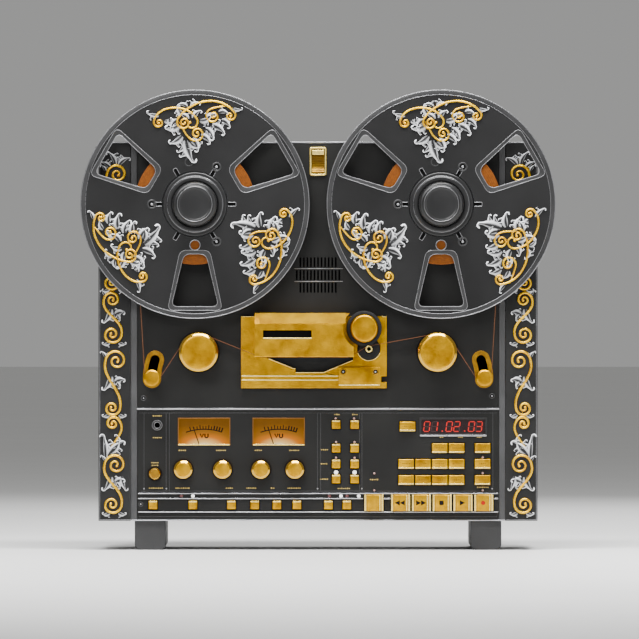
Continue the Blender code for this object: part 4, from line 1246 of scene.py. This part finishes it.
def make_adapter(side):
    x, z = axis_of(REEL_BODY[side] + "_spin")
    at = {"x": x, "z": z}
    _, _, _, _, back, front = span("hub_adapter_" + side)
    profile = [
        (
            8.4, back), (37.6, back), (37.6, 22.2), (36.4, 23.4), (33.4, 23.4), (32.8, 24.0), (32.8,
            front - 1.6,
        ),
        (31.2, front), (27.5, front), (26.6, front - 1.2), (8.4, front - 1.2),
    ]
    replaced = "hub_adapter_" + side
    turned("adapter_" + side, profile, "hub_black", REEL_BODY[side], soft=0.5, replaces=replaced, **at)
    # A grey metal ring on the adapter's chamfer: painted highlight.
    line = bead(circle(0, 0, 32.4, 120), front - 0.95, 0.4)
    wires("adapter_lines_" + side, [line], "painted_highlight_metal", REEL_BODY[side], **at)
    knob = "lock_knob_" + side
    _, _, _, _, back, front = span(knob)
    profile = [
        (0, back), (25.6, back), (25.6, 38.6), (24.2, 40.6), (21.6, 41.2), (20.9, 43.5), (20.3, front - 0.3),
        (18.6, front), (17.6, front - 0.5), (8, front - 1.1), (0, front - 1.3),
    ]
    turned("knob_" + side, profile, "hub_black", knob, soft=0.7, steps=128, replaces=knob, **at)
    # A grey metal ring round the knob's top edge: painted highlight.
    wires("knob_lines_" + side, [bead(circle(0, 0, 20.2, 120), front - 0.45, 0.38)], "painted_highlight_metal", knob, **at)
    grips = bmesh.new()
    for px, pz in circle(0, 0, 25.4, 36):
        add_turned(grips, [(0, back + 1.5), (0.9, back + 1.5), (0.9, 37.6), (0, 38.0)], px, pz, 10)
    piece("knob_grips_" + side, grips, "hub_black", knob, **at)
    dress("reel_spindle_" + side, "steel")
    dress("reel_motor_" + side, "frame")


# ---- Tape path ----


def roller_profile(radius, groove, back, front):
    """From the back face round the tape's groove to the domed cap."""
    chamfer = radius * 0.13
    edge = [(radius, back), (radius, 13.1), (groove, 13.8), (groove, 21.1), (radius, 21.8)]
    edge += [(radius, front - 0.4 - chamfer * 0.78), (radius - chamfer, front - 0.4)]
    return edge + [(radius * 0.84, front - 0.45), (radius * 0.8, front - 0.1), (0, front)]


def make_rollers(side, sign):
    name = "guide_roller_" + side
    x, z = axis_of(name + "_spin")
    profile = [(0, -20.0), (3.5, -20.0), (3.5, 11.0)] + roller_profile(GUIDE_RADIUS, GUIDE_GROOVE, 11.0, 27.0)
    turned(name + "_cap", profile, "gold", name, x, z, soft=0.6, steps=128, replaces=name)
    gleam = [(22.5, 24.25), (22.65, 24.4), (19.8, 26.7), (19.8, 26.4)]
    turned(name + "_gleam", gleam, "gold_gleam", name, x, z, soft=0.05, steps=128)
    # A dark ring round the roller's foot: painted shadow.
    ring = [(22.9, 0.0), (24.6, 0.0), (24.2, 0.5), (22.9, 0.5)]
    turned(name + "_painted_shadow_ring", ring, "ink", x=x, z=z, soft=0.1)

    name = "tension_roller_" + side
    x, z = axis_of(name + "_spin")
    profile = [
        (0, 23.5), (2.9, 23.5), (2.9, 11.0)] + roller_profile(TENSION_RADIUS, TENSION_GROOVE, 11.0, 26.0
    )
    turned(name + "_cap", profile, "gold", name, x, z, soft=0.5, steps=72, replaces=name)
    dress("tension_arm_" + side, "steel")

    pivot = Vector(axis_of(f"tension_arm_{side}_swing"))
    reach = (Vector((x, z)) - pivot).length
    rest = math.degrees(math.atan2(z - pivot.y, (x - pivot.x) * sign))
    low, high = rest - 1.0, rest + 17.5

    def oblong(half):
        """The curved slot's outline, this far from its centre line."""
        first, last = arc(0, 0, reach, low, high, 1)
        points = arc(0, 0, reach + half, low, high, 8) + arc(*last, half, high, high + 180, 18)[1:-1]
        points += arc(0, 0, reach - half, high, low, 8) + arc(*first, half, low + 180, low + 360, 18)[1:-1]
        return [(px * sign, pz) for px, pz in points]

    rims = [oblong(10.6), oblong(5.35)]
    plate(f"arm_slot_trim_{side}", rims, 0.02, 1.8, "gold_aged", x=pivot.x, z=pivot.y, bevel=0.5)


def make_head_block():
    x0, x1, z0, z1, back, _ = span("head_plate")
    front = 6.0
    capstan = axis_of("capstan_spin")
    window = [
        (
            -60.7, 235.0), (-60.7, 224.2), (-29.2, 211.7), (-26.2, 211.3), (-26.2, 207.3), (6.5,
            207.3), (41.0, 221.8,
        ),
        (41.0, 235.0),
    ]
    outline = [(x0, z0), (x1, z0), (x1, 195.9), (73.8, 195.9), (73.8, 202.6), (x1, 202.6), (x1, z1), (x0, z1)]
    holes = [
        softened(window, 0.5, 3), circle(*capstan, 13.4, 64), circle(*axis_of("pinch_arm_swing"), 3.6, 32)
    ]
    outlines = [softened(outline, 0.6, 3), *holes]
    plate("head_plate_body", outlines, back, front, "gold", bevel=0.5, replaces="head_plate")
    # Pale gold ridges, beads along the window's and the capstan hole's edges, and strips along the top edge:
    # painted highlights.
    lines = [(x0 + 0.6, 24.2, z, z + 1.5, front - 0.6, front + 0.5) for z in (202.3, 197.6)]
    strips("splice_ridges", lines, "gold_painted_highlight")
    edges = (
        (
            0.55, ((-57.5, 223.2), (-29.2, 211.9), (-26.4, 211.4))), (0.55,
            ((-26.0, 207.0), (6.5, 207.0), (40.5, 221.3)),
        ),
        (0.45, arc(*capstan, 13.6, 200, 340, 24)),
    )
    paths = [([(x, z, front - 0.05, radius) for x, z in points], False) for radius, points in edges]
    wires("head_plate_edges", paths, "gold_painted_highlight")
    ends = ((x0 + 0.5, -74.5), (74.0, x1 - 0.4))
    strips(
        "head_plate_top_edge", [(*end, z1 - 0.9, z1 - 0.1, front - 0.2, front + 0.15) for end in ends],
        "gold_painted_highlight",
    )

    bm = bmesh.new()
    add_key(bm, 48.15, 202.65, 48.7, 21.7, front - 1.0, 10.0, 0.7, 0.5)
    piece("clamp_block", bm, "gold")
    # A pale strip along the clamp block's foot: painted highlight.
    strips("clamp_lip", [(24.2, 72.1, 191.7, 193.1, front + 1.0, 10.1)], "gold_painted_highlight")
    recessed_screws("clamp_screws", ((29.4, 208.1, 3.9), (66.9, 207.8, 3.9)), 10.0, washer="gold_aged")


def carved(target, name, bm):
    """Cuts bm out of target with a modifier, and returns the object that cuts."""
    mesh = bpy.data.meshes.new(name)
    bm.to_mesh(mesh)
    bm.free()
    tool = put(name, mesh)
    cut = target.modifiers.new(name, "BOOLEAN")
    cut.operation = "DIFFERENCE"
    cut.object = tool
    return tool


def make_head_cover():
    """A folded shell, hollow behind, cut away round the pinch roller and slotted for the tape."""
    x0, x1, z0, z1, back, front = span("head_cover")
    body, pinch = "head_cover", axis_of("pinch_roller_spin")
    shoulder, slope, wall, notch = 263.8, 16.0, 2.0, 24.4
    bent = [(front - 0.6, z0), (front, z0 + 0.6), (front, shoulder), (front - slope, z1)]
    inner = [
        (
            back - 3, z0 - 3), (front - wall, z0 - 3), (front - wall, shoulder - 1), (front - slope - 1,
            z1 - wall,
        ),
        (back - 3, z1 - wall),
    ]
    bm, hollow, ring, outside, slots, openings = [bmesh.new() for _ in range(6)]
    add_drawn(bm, [(back, z0), *bent, (back, z1)], x0, x1)
    shell = piece("cover_shell", bm, "gold", body, replaces="head_cover")
    add_drawn(hollow, inner, x0 + wall, x1 - wall)
    for post, radius in ((ring, notch + wall), (outside, notch)):
        add_turned(post, [(0, -5), (radius, -5), (radius, 60), (0, 60)], *pinch, 96)
    add_loft(slots, [(rectangle(x0 - 5, x1 + 5, 215, 233), depth) for depth in (0.0, 23.0)])
    window = softened(rectangle(-63.9, -7.5, 247.7, 256.3), 0.6, 3)
    add_loft(openings, [(window, front - 5), (window, front + 5)])

    core = carved(shell, "hollow", hollow)
    tools = [core, carved(core, "ring", ring)]
    for name, bm in (("outside", outside), ("slots", slots), ("openings", openings)):
        tools.append(carved(shell, name, bm))
    bpy.context.view_layer.update()
    finished = bpy.data.meshes.new_from_object(shell.evaluated_get(bpy.context.evaluated_depsgraph_get()))
    shell.modifiers.clear()
    shell.data = finished
    for tool in tools:
        bpy.data.objects.remove(tool)
    finished.shade_smooth()
    finished.set_sharp_from_angle(angle=math.radians(30))
    round_edges(shell, 0.4, 30, clamp=True)

    # A strip on the top slope in a darker copy of the gold: painted shade.
    band = bmesh.new()
    corners = []
    for x in (x0 + 5.7, 31.8):
        for depth, z in ((front - 0.1, shoulder + 0.3), (front - slope + 0.3, z1 - 0.2)):
            corners.append(band.verts.new(spot(x, z + 0.28, depth + 0.21)))
    face = band.faces.new((corners[0], corners[2], corners[3], corners[1]))
    grown = moved_verts(bmesh.ops.extrude_face_region(band, geom=[face]))
    bmesh.ops.translate(band, verts=grown, vec=(0, 0.4 * MM, -0.4 * MM))
    bmesh.ops.recalc_face_normals(band, faces=band.faces)
    piece("cover_top_band", band, "gold_band_painted_shade", body)
    # A pale strip along the slot's lower edge: painted highlight.
    strips("cover_slot_lip", [(-63.9, -7.5, 246.2, 247.7, front - 0.5, front + 0.35)], "gold_painted_highlight", body)
    # A near-black plate behind the slot: painted shade inside the cover.
    plate("cover_slot_dark", [rectangle(-65, -6, 246.5, 257.5)], front - 4.6, front - 4.2, "cavity_painted_shade", body)


def make_heads():
    dress("head_stack", "steel", 0.2)
    dress("capstan_motor", "frame")
    dress("pinch_arm", "steel")
    x, z = axis_of("capstan_spin")
    _, _, _, _, back, front = span("capstan_rotor")
    shaft = [
        (
            0, back), (CAPSTAN_RADIUS, back), (CAPSTAN_RADIUS, -42), (38, -42), (38, -24), (CAPSTAN_RADIUS,
            -24), (CAPSTAN_RADIUS, front - 0.7), (2.6,
            front,
        ),
        (0, front),
    ]
    turned("capstan_shaft", shaft, "steel", "capstan", x, z, soft=0.2, replaces="capstan_rotor")
    # The tip is in the paler gold used for painted highlights.
    tip = [(0, front - 0.5), (3.9, front - 0.5), (3.9, front - 0.1), (2.9, front), (0, front)]
    turned("capstan_tip", tip, "gold_painted_highlight", "capstan", x, z, soft=0.3)
    collar = [
        (3.5, -20), (8, -20), (8, 0.3), (13.0, 0.3), (13.0, 6.2), (12.0, 7.0), (5.6, 7.0), (5.2, 6.4),
        (3.5, 6.4),
    ]
    turned("capstan_collar", collar, "panel", x=x, z=z, soft=0.4, replaces="capstan_bearing")
    at = {"body": "pinch_roller", "soft": 0.8, "steps": 128}
    x, z = axis_of("pinch_roller_spin")
    tyre = [
        (0, 25.0), (2.9, 25.0), (2.9, 10.5), (20.5, 10.5), (20.5, 25.0), (17.0, 25.6), (16.2, 25.2),
        (0, 25.2),
    ]
    turned("pinch_tyre", tyre, "rubber", x=x, z=z, replaces="pinch_roller", **at)
    cap = [(0, 25.3), (16.4, 25.3), (16.4, 28.6), (15.2, 30.6), (13.8, 31.3), (8, 31.5), (0, 31.5)]
    turned("pinch_cap", cap, "gold", x=x, z=z, **at)


def on_wheel(wheel, heading):
    x, z, radius, turn = wheel
    return Vector((x + turn * radius * math.sin(heading), z - turn * radius * math.cos(heading)))


def heading_between(leaving, reaching):
    (x0, z0, r0, turn0), (x1, z1, r1, turn1) = leaving, reaching
    lean = math.asin((turn0 * r0 - turn1 * r1) / math.hypot(x1 - x0, z1 - z0))
    return math.atan2(z1 - z0, x1 - x0) + lean


def add_ribbon(bm, points, back, front, thickness=0.55):
    """A flat band that stands on its edge along points in the front view."""
    sections = []
    for i, point in enumerate(points):
        along = points[min(i + 1, len(points) - 1)] - points[max(i - 1, 0)]
        aside = Vector((-along.y, along.x)).normalized() * thickness / 2
        corners = (
            (point + aside, back), (point + aside, front), (point - aside, front), (point - aside, back)
        )
        sections.append([bm.verts.new(spot(place.x, place.y, depth)) for place, depth in corners])
    bm.faces.new(sections[0])
    bm.faces.new(sections[-1])
    bridge(bm, sections)
    bmesh.ops.recalc_face_normals(bm, faces=bm.faces)


def make_tape():
    """The tape round its path. The wrap round each tension roller rides on its arm; the runs to the pack and
    the guide roller do not move.
    """
    low, high = span("tape")[4:]
    x0, x1 = span("tape_pack_left")[:2]
    pack = (x1 - x0) / 2

    def wheel(place, radius, turn):
        return (*place, radius + 0.2, turn)

    wheels = [
        wheel(axis_of("supply_reel_spin"), pack, 1),
        wheel(axis_of("tension_roller_left_spin"), TENSION_GROOVE, 1),
        wheel(axis_of("guide_roller_left_spin"), GUIDE_GROOVE, -1),
        wheel((-66.0, 228.0), 3.0, 1),
        wheel((34.0, 228.0), 3.0, 1),
        wheel(axis_of("capstan_spin"), CAPSTAN_RADIUS, -1),
        wheel(axis_of("guide_roller_right_spin"), GUIDE_GROOVE, -1),
        wheel(axis_of("tension_roller_right_spin"), TENSION_GROOVE, 1),
        wheel(axis_of("take_up_reel_spin"), pack, 1),
    ]
    headings = [heading_between(*pair) for pair in zip(wheels, wheels[1:])]
    runs = [[on_wheel(wheels[0], headings[0])]]
    for one, reaching, leaving in zip(wheels[1:], headings, headings[1:]):
        swing = (leaving - reaching) * one[3] % (2 * math.pi)
        steps = max(3, round(math.degrees(swing) / 4))
        runs.append([on_wheel(one, reaching + one[3] * swing * k / steps) for k in range(steps + 1)])
    runs.append([on_wheel(wheels[-1], headings[-1])])

    def straight(a, b, steps=24):
        return [a.lerp(b, k / steps) for k in range(steps + 1)]

    def strand(name, points, body="root"):
        bm = bmesh.new()
        add_ribbon(bm, points, low, high)
        return piece(name, bm, "tape", body, smooth=50)

    def place(point):
        return (point.x * MM, PANEL_Y - low * MM, point.y * MM)

    for side, near, wrap, far in (("left", 0, 1, 2), ("right", -1, -2, -3)):
        arm = "tension_arm_" + side
        strand("tape_wrap_" + side, runs[wrap], arm)
        for name, fixed, moving in (("pack", near, wrap), ("guide", far, wrap)):
            forwards = (near == 0) == (name == "pack")
            start = runs[fixed][-1] if forwards else runs[fixed][0]
            end = runs[moving][0] if forwards else runs[moving][-1]
            run = strand(f"tape_{name}_run_{side}", straight(start, end), None)
            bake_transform(run)
    points = list(runs[2])
    for run in runs[3:-2]:
        points += straight(points[-1], run[0])[1:-1] + run
    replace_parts(strand("tape_past_heads", points), "tape")


# ---- Back and inside ----


def make_back():
    """Screws and sockets on the back. Each is drawn facing forwards and then turned round."""
    heads, rings, pins, plastic = [bmesh.new() for _ in range(4)]
    x0, x1, z0, z1, cover, _ = span("rear_cover")
    for x in (x0 + 10, (x0 + x1) / 2, x1 - 10):
        for z in (z0 + 10, z1 - 10):
            add_screw(heads, x, z, 3.6)
    socket = softened([(3.0, 2.3), (4.3, 2.3), (4.3, 8.5), (3.0, 8.5)], 0.3, 2)
    for x in (20.0, 50.0, 80.0, 105.0):
        for z in (82.0, 108.0):
            add_turned(rings, socket, -x, z, 32)
            add_turned(plastic, [(0, 2.3), (2.9, 2.3), (2.9, 7.6), (0, 7.6)], -x, z, 24)
            add_turned(plastic, [(4.4, 2.2), (6.6, 2.2), (6.2, 3.2), (4.4, 3.2)], -x, z, 32)
    for x, z in ((72.0, 93.0), (86.0, 93.0), (79.0, 98.0)):
        add_key(pins, x, z, 1.6, 5.0, -15.0, -4.0, 0.4, 0.3)
    panel = span("connector_panel")[4] + 2.3
    half_turn = Matrix.Rotation(math.pi, 3, "Z")
    for name, bm, look, depth in (
        ("rear_screws", heads, "steel", cover), ("socket_rings", rings, "gold_painted_highlight", panel),
        ("inlet_pins", pins, "steel", panel), ("socket_cores", plastic, "black_plastic", panel),
    ):
        bmesh.ops.rotate(bm, verts=bm.verts, matrix=half_turn)
        piece(name, bm, look).location.y = PANEL_Y - depth * MM
    dress("power_supply", "copper_board")


# ---- Studio ----


def add_light(name, place, target, size, power):
    data = bpy.data.lights.new(name, "AREA")
    data.shape = "RECTANGLE"
    data.size, data.size_y = size
    data.energy = power
    obj = bpy.data.objects.new(name, data)
    obj.location = place
    obj.rotation_euler = (Vector(target) - Vector(place)).to_track_quat("-Z", "Y").to_euler()
    bpy.context.scene.collection.objects.link(obj)


def make_studio():
    world = bpy.data.worlds.new("studio")
    world.use_nodes = True
    background = world.node_tree.nodes["Background"]
    background.inputs["Color"].default_value = (0.8, 0.8, 0.79, 1)
    background.inputs["Strength"].default_value = 0.42
    bpy.context.scene.world = world
    bm = bmesh.new()
    bmesh.ops.create_grid(bm, x_segments=8, y_segments=8, size=40.0)
    mesh = bpy.data.meshes.new("floor")
    bm.to_mesh(mesh)
    bm.free()
    surface("floor_paint", (0.72, 0.72, 0.71), 0.6, mottle=0.02, mottle_scale=2.0, grain=60.0, bump=0.02)
    mesh.materials.append(MATERIALS["floor_paint"])
    floor = bpy.data.objects.new("floor", mesh)
    bpy.context.scene.collection.objects.link(floor)
    add_light("key", (-0.9, -2.2, 1.7), (0, 0, 0.3), (1.4, 0.9), 48)
    add_light("top", (0.1, -0.7, 1.9), (0, -0.1, 0.3), (1.6, 0.6), 120)
    add_light("fill", (1.8, -1.8, 0.6), (0, 0, 0.25), (0.8, 1.4), 14)
    add_light("rear", (0.6, 2.2, 1.6), (0, 0, 0.3), (1.6, 1.0), 40)

    camera = bpy.data.cameras.new("camera")
    camera.lens = 500
    camera.sensor_width = 36
    camera.clip_end = 100
    view_width = 0.745
    obj = bpy.data.objects.new("camera", camera)
    obj.location = (0.0017, PANEL_Y - view_width * camera.lens / camera.sensor_width, 0.2688)
    obj.rotation_euler = (math.pi / 2, 0, 0)
    bpy.context.scene.collection.objects.link(obj)
    bpy.context.scene.camera = obj


def main():
    make_materials()
    make_studio()
    make_case()
    make_panels()
    make_vents()
    make_labels()
    for side, _ in SIDES:
        make_meter(side)
    make_display()
    make_keypads()
    make_transport_keys()
    make_knobs()
    make_rocker()
    make_jack()
    for side, sign in SIDES:
        make_reel(side)
        make_adapter(side)
        make_rollers(side, sign)
    make_head_block()
    make_head_cover()
    make_heads()
    make_tape()
    make_back()


main()
